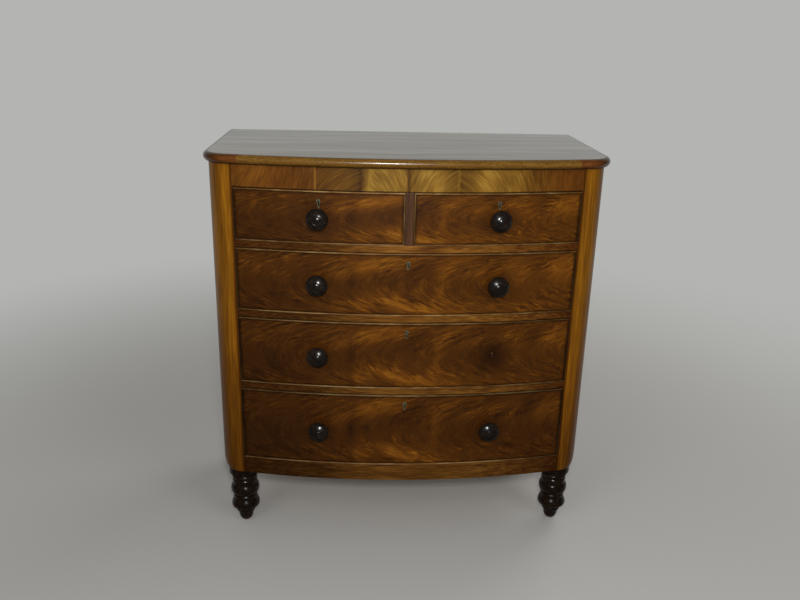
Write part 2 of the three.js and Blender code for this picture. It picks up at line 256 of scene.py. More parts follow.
def smooth_line(points: Array, steps: int = 6, corners: tuple[int, ...] = ()) -> Array:
    """A line through the points in cubic Hermite spans, with creases at the corners.

    The tangent at a point is the mean of the two chords beside it, each weighted by the other's length. At a
    corner and at the ends it is the chord of the span itself.

    Args:
        points: The points, two columns.
        steps: Spans are divided into this many.
        corners: Numbers of the points where the line turns sharply.

    Returns:
        The finer line.
    """
    chord = np.diff(points, axis=0)
    length = np.maximum(np.linalg.norm(chord, axis=1), 1e-9)[:, None]
    slope = chord / length
    inner = (slope[1:] * length[:-1] + slope[:-1] * length[1:]) / (length[1:] + length[:-1])
    start = np.vstack([slope[:1], inner])
    end = np.vstack([inner, slope[-1:]])
    sharp = np.isin(np.arange(len(points)), corners)
    start = np.where(sharp[:-1, None], slope, start) * length
    end = np.where(sharp[1:, None], slope, end) * length
    t = (np.arange(steps) / steps)[None, :, None]
    a, b = points[:-1, None], points[1:, None]
    line = (2 * t**3 - 3 * t**2 + 1) * a + (t**3 - 2 * t**2 + t) * start[:, None]
    line = line + (3 * t**2 - 2 * t**3) * b + (t**3 - t**2) * end[:, None]
    return np.vstack([line.reshape(-1, 2), points[-1:]])


def turned(line: Array, segments: int) -> Array:
    """Turns an outline about the upright axis: x and y are the radius times cosine and sine, z is the height.

    Args:
        line: Radius and height, two columns.
        segments: Points round the axis.

    Returns:
        A grid of points, a row for each point of the line.
    """
    angle = 2 * np.pi * np.arange(segments) / segments
    radius, height = line[:, :1], line[:, 1:]
    return np.stack([radius * np.cos(angle), radius * np.sin(angle), height + 0 * angle], -1)


def oblong(x0: float, x1: float, z0: float, z1: float) -> Array:
    """The four corners of an oblong, two columns."""
    return np.array([[x0, z0], [x1, z0], [x1, z1], [x0, z1]])


def drawn_out(ring: Array, ys: tuple[Array | float, ...]) -> Array:
    """Carries an upright outline from front to back: x and z stay, and y takes each given value in turn."""
    return np.stack([np.column_stack([ring[:, 0], np.full(len(ring), y), ring[:, 1]]) for y in ys])


def stacked(plans: list[Array], heights: Array | tuple[float, ...]) -> Array:
    """Sets outlines one over another: each keeps its two columns and takes its height as the third."""
    return np.stack([np.column_stack([plan, np.full(len(plan), h)]) for plan, h in zip(plans, heights)])


def on_front(xyz: Array, x: float, z: float) -> Array:
    """Sets points on the bowed front, square to it: their height z becomes the reach out of the face.

    Args:
        xyz: Points whose Z points out of the face and whose Y points up.
        x: Place across the chest.
        z: Height.

    Returns:
        Points in place: turned about the upright axis by the arcsine of x over the bow's radius, and moved.
    """
    turn = math.asin(x / PLAN.radius)
    side, up, out = xyz[..., 0], xyz[..., 1], xyz[..., 2]
    px = x + side * math.cos(turn) + out * math.sin(turn)
    py = PLAN.bow(x) + side * math.sin(turn) - out * math.cos(turn)
    return np.stack([px, py, z + up], -1)


def bowed_bar(xs: Array, inset: Array, share: Array, z: Array, back: float) -> Array:
    """A profile swept along the bow: y runs from the bow at the inset, at share 0, to the back at share 1.

    Args:
        xs: Stations across the chest.
        inset: Depth behind the face of each point of the profile.
        share: How far each point has gone to the straight back.
        z: Height of each point.
        back: Y of the straight back.

    Returns:
        A grid of points, a row for each station.
    """
    bow = PLAN.bow(xs[:, None], inset[None])
    y = bow + share[None] * (back - bow)
    return np.stack([xs[:, None] + 0 * y, y, z[None] + 0 * y], -1)


def arc(cx: float, cy: float, radius: float, start: float, stop: float, steps: int) -> Array:
    """Points of a circle's arc, its ends included: centre plus radius times cosine and sine."""
    angle = np.linspace(start, stop, steps + 1)
    return np.column_stack([cx + radius * np.cos(angle), cy + radius * np.sin(angle)])


class Body(Enum):
    """The bodies that pieces ride on."""

    CARCASE = "carcase"
    SHORT_LEFT = "short_left_drawer"
    SHORT_RIGHT = "short_right_drawer"
    UPPER = "upper_drawer"
    MIDDLE = "middle_drawer"
    LOWER = "lower_drawer"


class Slot(Enum):
    """The record's material slots."""

    TOP = "top_mahogany"
    CARCASE = "carcase_mahogany"
    RAIL = "rail_mahogany"
    FLAME = "flame_mahogany"
    BEAD = "cock_bead"
    DARK = "dark_stained_wood"
    STEM = "broken_stem"
    PINE = "pine"
    BRASS = "brass"


def put(name: str, data: bpy.types.ID) -> bpy.types.Object:
    """Puts an object in the scene.

    Args:
        name: The object's name.
        data: Its mesh, camera or lamp.

    Returns:
        The object.
    """
    made = bpy.data.objects.new(name, data)
    bpy.context.scene.collection.objects.link(made)
    return made


def make_piece(
    name: str,
    mesh: bpy.types.Mesh,
    body: Body,
    finishes: list["Finish"],
    stands_for: tuple[str, ...] = (),
    arris: float = 0.0,
) -> None:
    """Puts a finished mesh in the scene as one piece of the chest.

    Args:
        name: The piece's name.
        mesh: Its mesh, in place.
        body: The body that it rides on.
        finishes: Its materials in the order of its faces' numbers.
        stands_for: Nodes of the model that it replaces.
        arris: Width to which its sharp edges are worn.
    """
    made = put(name, mesh)
    for finish in finishes:
        mesh.materials.append(finish.material())
    if arris:
        worn = made.modifiers.new("Arris", "BEVEL")
        worn.width = arris
        worn.segments = 2
        worn.limit_method = "ANGLE"
        worn.angle_limit = math.radians(40)
        worn.harden_normals = True
    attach(made, body.value)
    if stands_for:
        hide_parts(*stands_for)
    log.info("%s: %d faces on %s", name, len(mesh.polygons), body.value)


def refinish(name: str, finish: "Finish") -> None:
    """Gives a node of the model, whose shape is right as it is, a finish of its own.

    Args:
        name: The node's name.
        finish: Its new finish.
    """
    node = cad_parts[name]
    node.data.materials.clear()
    node.data.materials.append(finish.material())
    log.info("%s: kept, finished as %s", name, finish.name)


def paint_where(mesh: bpy.types.Mesh, number: int, chosen: Array) -> None:
    """Gives the chosen faces another of the piece's finishes.

    Args:
        mesh: The mesh.
        number: The finish's place in the list.
        chosen: True for each face that takes it.
    """
    kept = np.empty(len(mesh.polygons), np.int32)
    mesh.polygons.foreach_get("material_index", kept)
    kept[chosen] = number
    mesh.polygons.foreach_set("material_index", kept)


def face_middles(mesh: bpy.types.Mesh) -> Array:
    """Reads where the middles of a mesh's faces are.

    Args:
        mesh: The mesh.

    Returns:
        Three columns, a row for each face.
    """
    out = np.empty(len(mesh.polygons) * 3)
    mesh.polygons.foreach_get("center", out)
    return out.reshape(-1, 3)


# Materials

LAYER_STEP = (3.7, 1.3, 7.1)  # Keeps each scale of streaks on another part of the noise
ACROSS = (-0.5, 0.5)  # Where shades across the drawers start and end
FINER = 0.55  # How strong each finer octave of the streaks' noise is, of the one before


def linear(code: str) -> tuple[float, float, float, float]:
    """Turns an sRGB colour into linear light: (c + 0.055) / 1.055 to the power 2.4, or c / 12.92 where dark.

    Args:
        code: Six hex digits.

    Returns:
        Red, green, blue and one.
    """
    parts = [int(code[i : i + 2], 16) / 255 for i in (0, 2, 4)]
    red, green, blue = (p / 12.92 if p <= 0.04045 else ((p + 0.055) / 1.055) ** 2.4 for p in parts)
    return (red, green, blue, 1.0)


class Kind(Enum):
    """The kinds of node that the finishes use."""

    ATTRIBUTE = "ShaderNodeAttribute"
    BUMP = "ShaderNodeBump"
    COORD = "ShaderNodeTexCoord"
    MATH = "ShaderNodeMath"
    MIX = "ShaderNodeMix"
    NOISE = "ShaderNodeTexNoise"
    RAMP = "ShaderNodeValToRGB"
    RANGE = "ShaderNodeMapRange"
    SPLIT = "ShaderNodeSeparateXYZ"
    VECTOR = "ShaderNodeVectorMath"
    VORONOI = "ShaderNodeTexVoronoi"


@dataclass
class Graph:
    """A material's node tree while it is drawn up."""

    tree: bpy.types.NodeTree

    def add(
        self, kind: Kind | str, inputs: dict | None = None, stops: Stops = (), **settings
    ) -> bpy.types.Node:
        """Adds a node with its settings, and links or sets its inputs.

        Args:
            kind: The kind of node.
            inputs: Input name or number to a node, a socket or a constant.
            stops: A colour ramp's places and hex colours.
            **settings: Properties of the node.

        Returns:
            The node.
        """
        node = self.tree.nodes.new(kind.value if isinstance(kind, Kind) else kind)
        for key, value in settings.items():
            setattr(node, key, value)
        for key, value in (inputs or {}).items():
            if isinstance(value, bpy.types.Node):
                value = value.outputs[2 if value.bl_idname == Kind.MIX.value else 0]
            if isinstance(value, bpy.types.NodeSocket):
                self.tree.links.new(value, node.inputs[key])
            else:
                node.inputs[key].default_value = value
        if stops:
            elements = node.color_ramp.elements
            while len(elements) < len(stops):
                elements.new(0.5)
            for element, (place, code) in zip(elements, stops):
                element.position = place
                element.color = linear(code)
        return node

    def graded(self, value: Feed, ends: tuple[float, float], stops: Stops, **settings) -> bpy.types.Node:
        """Shades that follow a value, such as a height.

        Args:
            value: What they follow.
            ends: The value where they start and where they end.
            stops: Their places and hex colours.
            **settings: Properties of the range.

        Returns:
            The node with the shades.
        """
        share = self.add(Kind.RANGE, {"Value": value, "From Min": ends[0], "From Max": ends[1]}, **settings)
        return self.add(Kind.RAMP, {0: share}, stops=stops)

    def times(self, value: Feed, *factors: Feed) -> Feed:
        """Multiplies a colour by one shade after another, or a place by scales, channel by channel.

        Args:
            value: The colour or the place.
            *factors: What it is multiplied by, each three numbers or one.

        Returns:
            The product.
        """
        for factor in factors:
            value = self.add(Kind.VECTOR, {0: value, 1: factor}, operation="MULTIPLY")
        return value


def blank_graph(owner: bpy.types.Material | bpy.types.World) -> Graph:
    """Empties a node tree, to be drawn up anew.

    Args:
        owner: The material or the world.

    Returns:
        Its graph.
    """
    owner.use_nodes = True
    owner.node_tree.nodes.clear()
    return Graph(owner.node_tree)


@dataclass(frozen=True)
class Layer:
    """One scale of streaks: their width and length in millimetres, how fine they go and how strong."""

    across: float
    along: float
    detail: float
    gain: float


@dataclass(frozen=True)
class Span:
    """What a value turns into: as it goes from low to high, the result goes from first to last."""

    low: float
    high: float
    first: float
    last: float

    def of(self, value: Feed) -> dict[str, Feed]:
        """The inputs of a range node for the value."""
        ends = {"From Min": self.low, "From Max": self.high, "To Min": self.first, "To Max": self.last}
        return {"Value": value, **ends}


class Grain(Enum):
    """Which way streaks run: along an axis of the model, or up a leaf whose x lies across them."""

    LEAF = "leaf"
    X = "x"
    Y = "y"
    Z = "z"

    def scale(self, wide: float, long: float) -> tuple[float, ...]:
        """Scales for coordinates in which the noise turns to streaks.

        Args:
            wide: The scale across the streaks.
            long: The scale along them.

        Returns:
            The scale of each axis.
        """
        if self is Grain.LEAF:
            return (wide, long, 1.0)
        return tuple(long if axis == self.value else wide for axis in "xyz")


@dataclass(frozen=True)
class Painted:
    """What a finish draws: colour, roughness and height, each a node, a socket or nothing."""

    colour: Feed
    roughness: Feed | None = None
    height: Feed | None = None


@dataclass(frozen=True)
class Finish:
    """A finish: its gloss as constants, and a pattern that paint() draws.

    Where the gloss is uneven, this much is added to the roughness where the pattern is low, and where it is
    high.
    """

    name: str
    roughness: float = 0.4
    specular: float = 0.3
    metallic: float = 0.0
    coat: float = 0.0
    coat_roughness: float = 0.1
    relief: float = 0.15
    relief_mm: float = 0.2
    uneven: tuple[float, float] = (0.0, 0.0)

    def material(self) -> bpy.types.Material:
        """Draws the material up once, and gives the same one after that.

        Returns:
            The material.
        """
        kept = bpy.data.materials.get(self.name)
        if kept:
            return kept
        made = bpy.data.materials.new(self.name)
        graph = blank_graph(made)
        painted = self.paint(graph)
        gloss = {
            "Base Color": painted.colour,
            "Roughness": self.roughness if painted.roughness is None else painted.roughness,
            "Metallic": self.metallic,
            "Specular IOR Level": self.specular,
            "Coat Weight": self.coat,
            "Coat Roughness": self.coat_roughness,
        }
        shader = graph.add("ShaderNodeBsdfPrincipled", gloss)
        if painted.height is not None:
            relief = {"Height": painted.height, "Strength": self.relief, "Distance": self.relief_mm * MM}
            bump = graph.add(Kind.BUMP, relief)
            graph.tree.links.new(bump.outputs[0], shader.inputs["Normal"])
        graph.add("ShaderNodeOutputMaterial", {"Surface": shader})
        return made

    def paint(self, graph: Graph) -> Painted:
        """Draws the pattern; each finish has its own."""
        raise NotImplementedError

    def dulled(self, graph: Graph, value: Feed, low: float = 0.0, high: float = 1.0) -> bpy.types.Node:
        """Roughness that follows the pattern.

        Args:
            graph: The material's graph.
            value: The pattern.
            low: Where the first amount is added in full.
            high: Where the second one is.

        Returns:
            The node with the roughness.
        """
        first, last = (self.roughness + more for more in self.uneven)
        return graph.add(Kind.RANGE, Span(low, high, first, last).of(value))


def streaks(
    graph: Graph, vector: Feed, layers: tuple[Layer, ...], base: Feed, grain: Grain
) -> bpy.types.Node:
    """Adds scales of streaks to a base value: the sum of gain times noise less a half, at stretched places.

    Args:
        graph: The material's graph.
        vector: Coordinates in metres.
        layers: The scales of streaks.
        base: The value that they are added to.
        grain: Which way they run.

    Returns:
        The node with the sum.
    """
    total = base
    for number, layer in enumerate(layers):
        scale = grain.scale(1 / (layer.across * MM), 1 / (layer.along * MM))
        stretched = graph.times(vector, scale)
        apart = tuple(number * step for step in LAYER_STEP)
        moved = graph.add(Kind.VECTOR, {0: stretched, 1: apart}, operation="ADD")
        inputs = {"Vector": moved, "Scale": 1.0, "Detail": layer.detail, "Roughness": FINER}
        noise = graph.add(Kind.NOISE, inputs)
        centred = graph.add(Kind.MATH, {0: noise, 1: 0.5}, operation="SUBTRACT")
        total = graph.add(Kind.MATH, {0: centred, 1: layer.gain, 2: total}, operation="MULTIPLY_ADD")
    return total


@dataclass(frozen=True)
class FlameVeneer(Finish):
    """Crotch mahogany veneer, sawn from a fork and French polished.

    It gives the eye fiery streaks that sweep up and down to the right from a quiet, upright grain at
    mid-height. The leaf attribute has each point's place across and along the streaks, and the figure
    attribute has the light and dark clouds with the painted shade of the lower drawers and the darker veneer
    round the knobs, the distance to the bead and how much the streaks curl.
    """

    layers: tuple[Layer, ...] = (
        Layer(26, 60, 2.0, 0.32),
        Layer(10, 36, 2.0, 0.30),
        Layer(4.0, 20, 3.0, 0.42),
    )
    pores: Layer = Layer(0.9, 9, 1, 0.16)
    uneven: tuple[float, float] = (0.06, -0.04)
    curls_per_metre: float = 15.0
    patches_per_metre: float = 19.0
    force: Span = Span(0.36, 0.62, 0.4, 1.5)
    spread: Span = Span(0.015, 0.08, 0.6, 1.3)
    # How much darker the veneer is near the bead.
    edge_darkening: Span = Span(0.0005, 0.009, 0.45, 1.0)
    stops: Stops = (
        (0.05, "1d0e02"),
        (0.25, "321904"),
        (0.42, "482705"),
        (0.58, "673b09"),
        (0.78, "8b5813"),
        (1.0, "b07f29"),
    )

    def paint(self, graph: Graph) -> Painted:
        """Draws the flame in patches of stronger and weaker streaks, the pores and a darkening near the bead.

        Args:
            graph: The material's graph.

        Returns:
            The colour, roughness and height.
        """
        leaf = graph.add(Kind.ATTRIBUTE, attribute_name="leaf").outputs["Vector"]
        figure = graph.add(Kind.ATTRIBUTE, attribute_name="figure").outputs["Vector"]
        place = graph.add(Kind.COORD).outputs["Object"]
        tone, edge, curl = graph.add(Kind.SPLIT, {0: figure}).outputs
        wander = {"Vector": place, "Scale": self.curls_per_metre, "Detail": 3.0, "Roughness": 0.6}
        drift = graph.add(Kind.NOISE, wander)
        shift = {0: drift.outputs["Color"], 1: (0.5, 0.5, 0.5)}
        centred = graph.add(Kind.VECTOR, shift, operation="SUBTRACT")
        curled = graph.add(Kind.VECTOR, {0: leaf, 1: graph.times(centred, curl)}, operation="ADD")
        flame = streaks(graph, curled, self.layers, 0.0, Grain.LEAF)
        patch = graph.add(Kind.NOISE, {"Vector": place, "Scale": self.patches_per_metre, "Detail": 2.0})
        force = graph.add(Kind.RANGE, self.force.of(patch))
        along = graph.add(Kind.SPLIT, {0: leaf}).outputs[1]
        reach_up = graph.add(Kind.MATH, {0: along}, operation="ABSOLUTE")
        spread = graph.add(Kind.RANGE, self.spread.of(reach_up))
        fanned = graph.add(Kind.MATH, {0: flame, 1: spread}, operation="MULTIPLY")
        value = graph.add(Kind.MATH, {0: fanned, 1: force, 2: tone}, operation="MULTIPLY_ADD")
        pores = streaks(graph, curled, (self.pores,), value, Grain.LEAF)
        colour = graph.add(Kind.RAMP, {0: pores}, stops=self.stops)
        # Darker near the bead
        edge_darkening = graph.add(Kind.RANGE, self.edge_darkening.of(edge), interpolation_type="SMOOTHSTEP")
        return Painted(graph.times(colour, edge_darkening), self.dulled(graph, value), pores)


@dataclass(frozen=True)
class GrainedWood(Finish):
    """Straight-grained wood: streaks along one axis of the model, in a range of colours."""

    uneven: tuple[float, float] = (0.06, -0.05)
    grain: Grain = Grain.Z
    layers: tuple[Layer, ...] = (Layer(28, 400, 1, 0.5), Layer(7, 180, 2, 0.8), Layer(2.2, 90, 2, 0.95))
    stops: Stops = ((0.1, "4f3008"), (0.5, "794b0a"), (0.9, "9c6a12"))

    def paint(self, graph: Graph) -> Painted:
        """Draws the grain along its axis.

        Args:
            graph: The material's graph.

        Returns:
            The colour, roughness and height.
        """
        place = graph.add(Kind.COORD).outputs["Object"]
        value = streaks(graph, place, self.layers, 0.5, self.grain)
        colour = graph.add(Kind.RAMP, {0: value}, stops=self.stops)
        return Painted(self.shade(graph, place, colour), self.dulled(graph, value), value)

    def shade(self, graph: Graph, place: Feed, colour: Feed) -> Feed:
        """Darkens or lightens the colour by place; plain wood stays as it is."""
        return colour


@dataclass(frozen=True)
class StileMahogany(GrainedWood):
    """Straight-grained mahogany of the corner stiles and sides, planed and polished to a warm gold brown.

    It gives the eye fine upright lines and painted shade: a darker strip in the gap at the drawers, a
    brighter band beside it, darker wood on its rounded outer side and darker wood towards the floor.
    """

    # Painted shade by height: the stile is painted darker towards the floor.
    heights: tuple[float, float] = (0.20, 0.85)
    painted_shade_upwards: Stops = ((0.0, "bdb5b2"), (0.5, "e1d7d2"), (1.0, "fcfcfc"))
    # Painted shade across the stile: dark in the gap strip at the drawers, darker on the rounded outer side.
    widths: tuple[float, float] = (0.50, 0.58)
    outwards: Stops = (
        (0.0, "9a8a84"),
        (0.07, "a89a90"),
        (0.13, "ffffff"),
        (0.42, "ffffff"),
        (0.55, "e6e6e6"),
        (1.0, "d0d0d0"),
    )

    def shade(self, graph: Graph, place: Feed, colour: Feed) -> Feed:
        """Darkens by height, and by the distance from the middle.

        Args:
            graph: The material's graph.
            place: Object coordinates.
            colour: The wood's colour.

        Returns:
            The shaded colour.
        """
        x, _, z = graph.add(Kind.SPLIT, {0: place}).outputs
        # Painted shade by height, then across the stile
        height = graph.graded(z, self.heights, self.painted_shade_upwards, interpolation_type="SMOOTHSTEP")
        out = graph.add(Kind.MATH, {0: x}, operation="ABSOLUTE")
        return graph.times(colour, height, graph.graded(out, self.widths, self.outwards))


EDGE_SHADE_LEAVES = Span(0.0, 1.0, 1.0, 0.3)  # How bright the wood stays away from the painted shadow line, and under it


def shaded_below_edges(graph: Graph, z: Feed, colour: Feed) -> Feed:
    """Paints shade on the lowest few millimetres of the wood over each drawer, as the shadow in the gap over
    its bead.

    Args:
        graph: The material's graph.
        z: The height.
        colour: The wood's colour.

    Returns:
        The colour with a painted shadow line along each lower edge.
    """
    for edge in LOWER_EDGES:
        near = graph.add(Kind.MATH, {0: z, 1: edge, 2: EDGE_SHADE}, operation="COMPARE")
        colour = graph.times(colour, graph.add(Kind.RANGE, EDGE_SHADE_LEAVES.of(near)))
    return colour


@dataclass(frozen=True)
class RailMahogany(GrainedWood):
    """Mahogany of the drawer rails, scraped and polished, its grain along the rail.

    It gives the eye long level streaks, with painted shade: darker lower down and towards both ends, most at
    the left, and a painted shadow line along the lower edges.
    """

    grain: Grain = Grain.X
    layers: tuple[Layer, ...] = (Layer(14, 200, 2, 0.7), Layer(5, 110, 2, 0.9), Layer(2.6, 60, 1, 0.9))
    stops: Stops = ((0.1, "43240a"), (0.45, "6a4112"), (0.9, "946628"))
    # Painted shade: darker lower down, and darker towards both ends of the rail.
    painted_shade_upwards: Span = Span(0.2, 0.9, 0.6, 1.0)
    across: Stops = ((0.0, "90807a"), (0.25, "a69e98"), (0.42, "ffffff"), (0.75, "f4f2ee"), (1.0, "a08878"))

    def shade(self, graph: Graph, place: Feed, colour: Feed) -> Feed:
        """Darkens the left end, the right end and the lower edges.

        Args:
            graph: The material's graph.
            place: Object coordinates.
            colour: The wood's colour.

        Returns:
            The shaded colour.
        """
        x, _, z = graph.add(Kind.SPLIT, {0: place}).outputs
        # Painted shade by height and across, and a painted shadow line along the lower edges.
        height = graph.add(Kind.RANGE, self.painted_shade_upwards.of(z))
        return shaded_below_edges(graph, z, graph.times(colour, height, graph.graded(x, ACROSS, self.across)))


@dataclass(frozen=True)
class FriezeVeneer(Finish):
    """Pieces of fan-figured mahogany veneer side by side, polished, on the rail under the top.

    It gives the eye golden fans that lean against each other at the joints, and red-brown ends.
    """

    layers: tuple[Layer, ...] = (Layer(34, 70, 2, 0.45), Layer(9, 50, 2, 0.42), Layer(3.4, 50, 2, 0.62))
    gold: Stops = ((0.05, "38230b"), (0.35, "593c0e"), (0.6, "79571a"), (0.85, "9e7a30"), (1.0, "b9984a"))
    brown: Stops = ((0.1, "391c04"), (0.45, "593108"), (0.9, "814c0f"))
    # How much darker the frieze is near its top and bottom edges.
    edge_darkening: Span = Span(0.0, 0.004, 0.5, 1.0)

    def paint(self, graph: Graph) -> Painted:
        """Draws the fans from the leaf attribute, and the joints and tones from the figure attribute.

        Args:
            graph: The material's graph.

        Returns:
            The colour and height.
        """
        leaf = graph.add(Kind.ATTRIBUTE, attribute_name="leaf").outputs["Vector"]
        figure = graph.add(Kind.ATTRIBUTE, attribute_name="figure").outputs["Vector"]
        tone, edge, red = graph.add(Kind.SPLIT, {0: figure}).outputs
        value = streaks(graph, leaf, self.layers, tone, Grain.LEAF)
        gold, brown = (graph.add(Kind.RAMP, {0: value}, stops=stops) for stops in (self.gold, self.brown))
        mixed = graph.add(Kind.MIX, {0: red, 6: gold, 7: brown}, data_type="RGBA")
        # Darker near both edges, then the painted shadow line along the lower edge over the drawers.
        edge_darkening = graph.add(Kind.RANGE, self.edge_darkening.of(edge))
        z = graph.add(Kind.SPLIT, {0: graph.add(Kind.COORD).outputs["Object"]}).outputs[2]
        return Painted(shaded_below_edges(graph, z, graph.times(mixed, edge_darkening)), None, value)


@dataclass(frozen=True)
class TopMahogany(Finish):
    """Long mahogany boards under old French polish.

    It gives the eye a pale sheen with long level scuffs where it is seen from low down.
    """

    uneven: tuple[float, float] = (-0.06, 0.16)
    scuffed: tuple[float, float] = (0.30, 0.75)
    layers: tuple[Layer, ...] = (Layer(70, 700, 1, 0.9), Layer(12, 400, 2, 0.5), Layer(3.5, 160, 2, 0.4))
    scuffs: tuple[Layer, ...] = (Layer(45, 420, 2, 1.0), Layer(9, 200, 2, 0.7))
    stops: Stops = ((0.15, "20190f"), (0.5, "51432c"), (0.85, "89775b"))

    def paint(self, graph: Graph) -> Painted:
        """Draws the level grain, and the scuffs that dull the polish in long streaks and small round marks.

        Args:
            graph: The material's graph.

        Returns:
            The colour, roughness and height.
        """
        place = graph.add(Kind.COORD).outputs["Object"]
        grain = streaks(graph, place, self.layers, 0.5, Grain.X)
        wood = graph.add(Kind.RAMP, {0: grain}, stops=self.stops)
        scuffs = streaks(graph, place, self.scuffs, 0.5, Grain.X)
        return Painted(wood, self.dulled(graph, scuffs, *self.scuffed), scuffs)


@dataclass(frozen=True)
class NosingMahogany(Finish):
    """Short pieces of mahogany set across the top's edge, rounded and polished.

    It gives the eye upright grain in a golden brown and a darker red at both ends, with painted shade on its
    underside, along its top arris and where it turns round the corners.
    The band attribute has the run along the edge and the height on the nosing.
    """

    uneven: tuple[float, float] = (0.08, -0.06)
    base: float = 0.48
    joint: tuple[float, float] = (0.484, 0.487)
    # Painted shade: the nosing is painted darker where it turns round the corners and along the sides.
    turn: Span = Span(0.52, 0.58, 1.0, 0.35)
    layers: tuple[Layer, ...] = (Layer(70, 200, 2, 0.6), Layer(11, 120, 2, 0.5), Layer(4.2, 90, 1, 0.75))
    front: Stops = ((0.1, "4b310f"), (0.5, "6e4d1a"), (0.9, "906b2e"))
    ends: Stops = ((0.1, "42220b"), (0.5, "623712"), (0.9, "804e25"))
    # Painted shade up the nosing's section: dark underneath, full on its front, darker at the top arris.
    painted_shade_upwards: Stops = (
        (0.0, "706a64"),
        (0.16, "968e86"),
        (0.34, "dcd6d0"),
        (0.5, "ffffff"),
        (0.86, "f0f0f0"),
        (0.95, "8a8a8a"),
    )

    def paint(self, graph: Graph) -> Painted:
        """Draws the cross-banding and its end pieces, with painted shade under the edge, at the arris and
        round the corners.

        Args:
            graph: The material's graph.

        Returns:
            The colour, roughness and height.
        """
        band = graph.add(Kind.ATTRIBUTE, attribute_name="band").outputs["Vector"]
        run, rise, _ = graph.add(Kind.SPLIT, {0: band}).outputs
        cross = streaks(graph, band, self.layers, self.base, Grain.LEAF)
        front, ends = (graph.add(Kind.RAMP, {0: cross}, stops=stops) for stops in (self.front, self.ends))
        out = graph.add(Kind.MATH, {0: run}, operation="ABSOLUTE")
        joint = graph.add(Kind.RANGE, Span(*self.joint, 0.0, 1.0).of(out))
        nosing = graph.add(Kind.MIX, {0: joint, 6: front, 7: ends}, data_type="RGBA")
        # Painted shade round the corners and up the section
        turn = graph.add(Kind.RANGE, self.turn.of(out), interpolation_type="SMOOTHSTEP")
        shade = graph.add(Kind.RAMP, {0: rise}, stops=self.painted_shade_upwards)
        return Painted(graph.times(nosing, shade, turn), self.dulled(graph, cross), cross)


@dataclass(frozen=True)
class BeadMahogany(Finish):
    """A thin mahogany strip, rounded and rubbed bare along its edge.

    It gives the eye a pale line over and under each drawer, broken here and there by old polish: partly worn
    wood and partly painted highlight, as the level beads catch the light.
    """

    grain: Grain = Grain.X
    layers: tuple[Layer, ...] = (Layer(60, 220, 2, 0.75), Layer(9, 40, 2, 0.5))
    stops: Stops = ((0.2, "4c3014"), (0.45, "825c2d"), (0.62, "b08c56"), (0.8, "cbaf7b"))
    heights: tuple[float, float] = (0.25, 1.15)
    # Painted shade across the chest: darker towards the ends of each bead.
    across: Stops = ((0.04, "c0c0c0"), (0.3, "f3f3f3"), (0.5, "ffffff"), (0.7, "e7e7e7"), (0.9, "b4b4b4"))
    # Painted shade by height, row by row: darker on the lower drawers.
    painted_shade_upwards: Stops = (
        (0.02, "d6d6d6"),
        (0.28, "aaaaaa"),
        (0.31, "c8c8c8"),
        (0.54, "c4c4c4"),
        (0.57, "ebebeb"),
        (0.78, "f2f2f2"),
        (0.81, "dedede"),
        (0.97, "ffffff"),
    )

    def paint(self, graph: Graph) -> Painted:
        """Draws worn wood with patches of old polish, with painted shade towards the ends and on the lower
        drawers.

        Args:
            graph: The material's graph.

        Returns:
            The colour and height.
        """
        place = graph.add(Kind.COORD).outputs["Object"]
        x, _, z = graph.add(Kind.SPLIT, {0: place}).outputs
        value = streaks(graph, place, self.layers, 0.5, self.grain)
        colour = graph.add(Kind.RAMP, {0: value}, stops=self.stops)
        # Painted shade towards the ends and lower down
        darkening = (graph.graded(x, ACROSS, self.across), graph.graded(z, self.heights, self.painted_shade_upwards))
        return Painted(graph.times(colour, *darkening), None, value)


@dataclass(frozen=True)
class DarkPolish(Finish):
    """Turned wood stained near black and French polished.

    It gives the eye sharp small lights on an almost black brown, with fine scratches round the turning. It
    wears thin below a height, and worn_bare is the share of that height where the wood is bare.
    """

    uneven: tuple[float, float] = (0.0, 0.1)
    worn_below: float = 0.0
    worn_bare: float = 0.6
    layers: tuple[Layer, ...] = (Layer(14, 14, 3, 0.9), Layer(2, 9, 2, 0.5))
    bare: Stops = ((0.2, "3a2818"), (0.8, "6e5430"))
    stops: Stops = ((0.1, "0d0b09"), (0.5, "18130f"), (0.9, "2e251c"))

    def paint(self, graph: Graph) -> Painted:
        """Draws the stain, thin in places, and bare wood where the foot meets the floor.

        Args:
            graph: The material's graph.

        Returns:
            The colour, roughness and height.
        """
        place = graph.add(Kind.COORD).outputs["Object"]
        value = streaks(graph, place, self.layers, 0.5, Grain.Z)
        stain, bare = (graph.add(Kind.RAMP, {0: value}, stops=stops) for stops in (self.stops, self.bare))
        height = graph.add(Kind.SPLIT, {0: place}).outputs[2]
        stained = self.worn_below + 0.001 * MM  # A hair over, so that the span always has a length
        wear = Span(self.worn_bare * self.worn_below, stained, 1.0, 0.0)
        worn = graph.add(Kind.RANGE, wear.of(height), interpolation_type="SMOOTHSTEP")
        colour = graph.add(Kind.MIX, {0: worn, 6: stain, 7: bare}, data_type="RGBA")
        return Painted(colour, self.dulled(graph, value), value)


@dataclass(frozen=True)
class BrokenWood(Finish):
    """A snapped stem of red-brown wood, rough and dull, with its fibres end on."""

    layers: tuple[Layer, ...] = (Layer(7, 7, 2, 1.6),)
    stops: Stops = ((0.3, "120a05"), (0.6, "2c170b"), (0.8, "5a3822"))

    def paint(self, graph: Graph) -> Painted:
        """Draws torn end grain.

        Args:
            graph: The material's graph.

        Returns:
            The colour and height.
        """
        place = graph.add(Kind.COORD).outputs["Object"]
        value = streaks(graph, place, self.layers, 0.5, Grain.Y)
        colour = graph.add(Kind.RAMP, {0: value}, stops=self.stops)
        return Painted(colour, None, value)


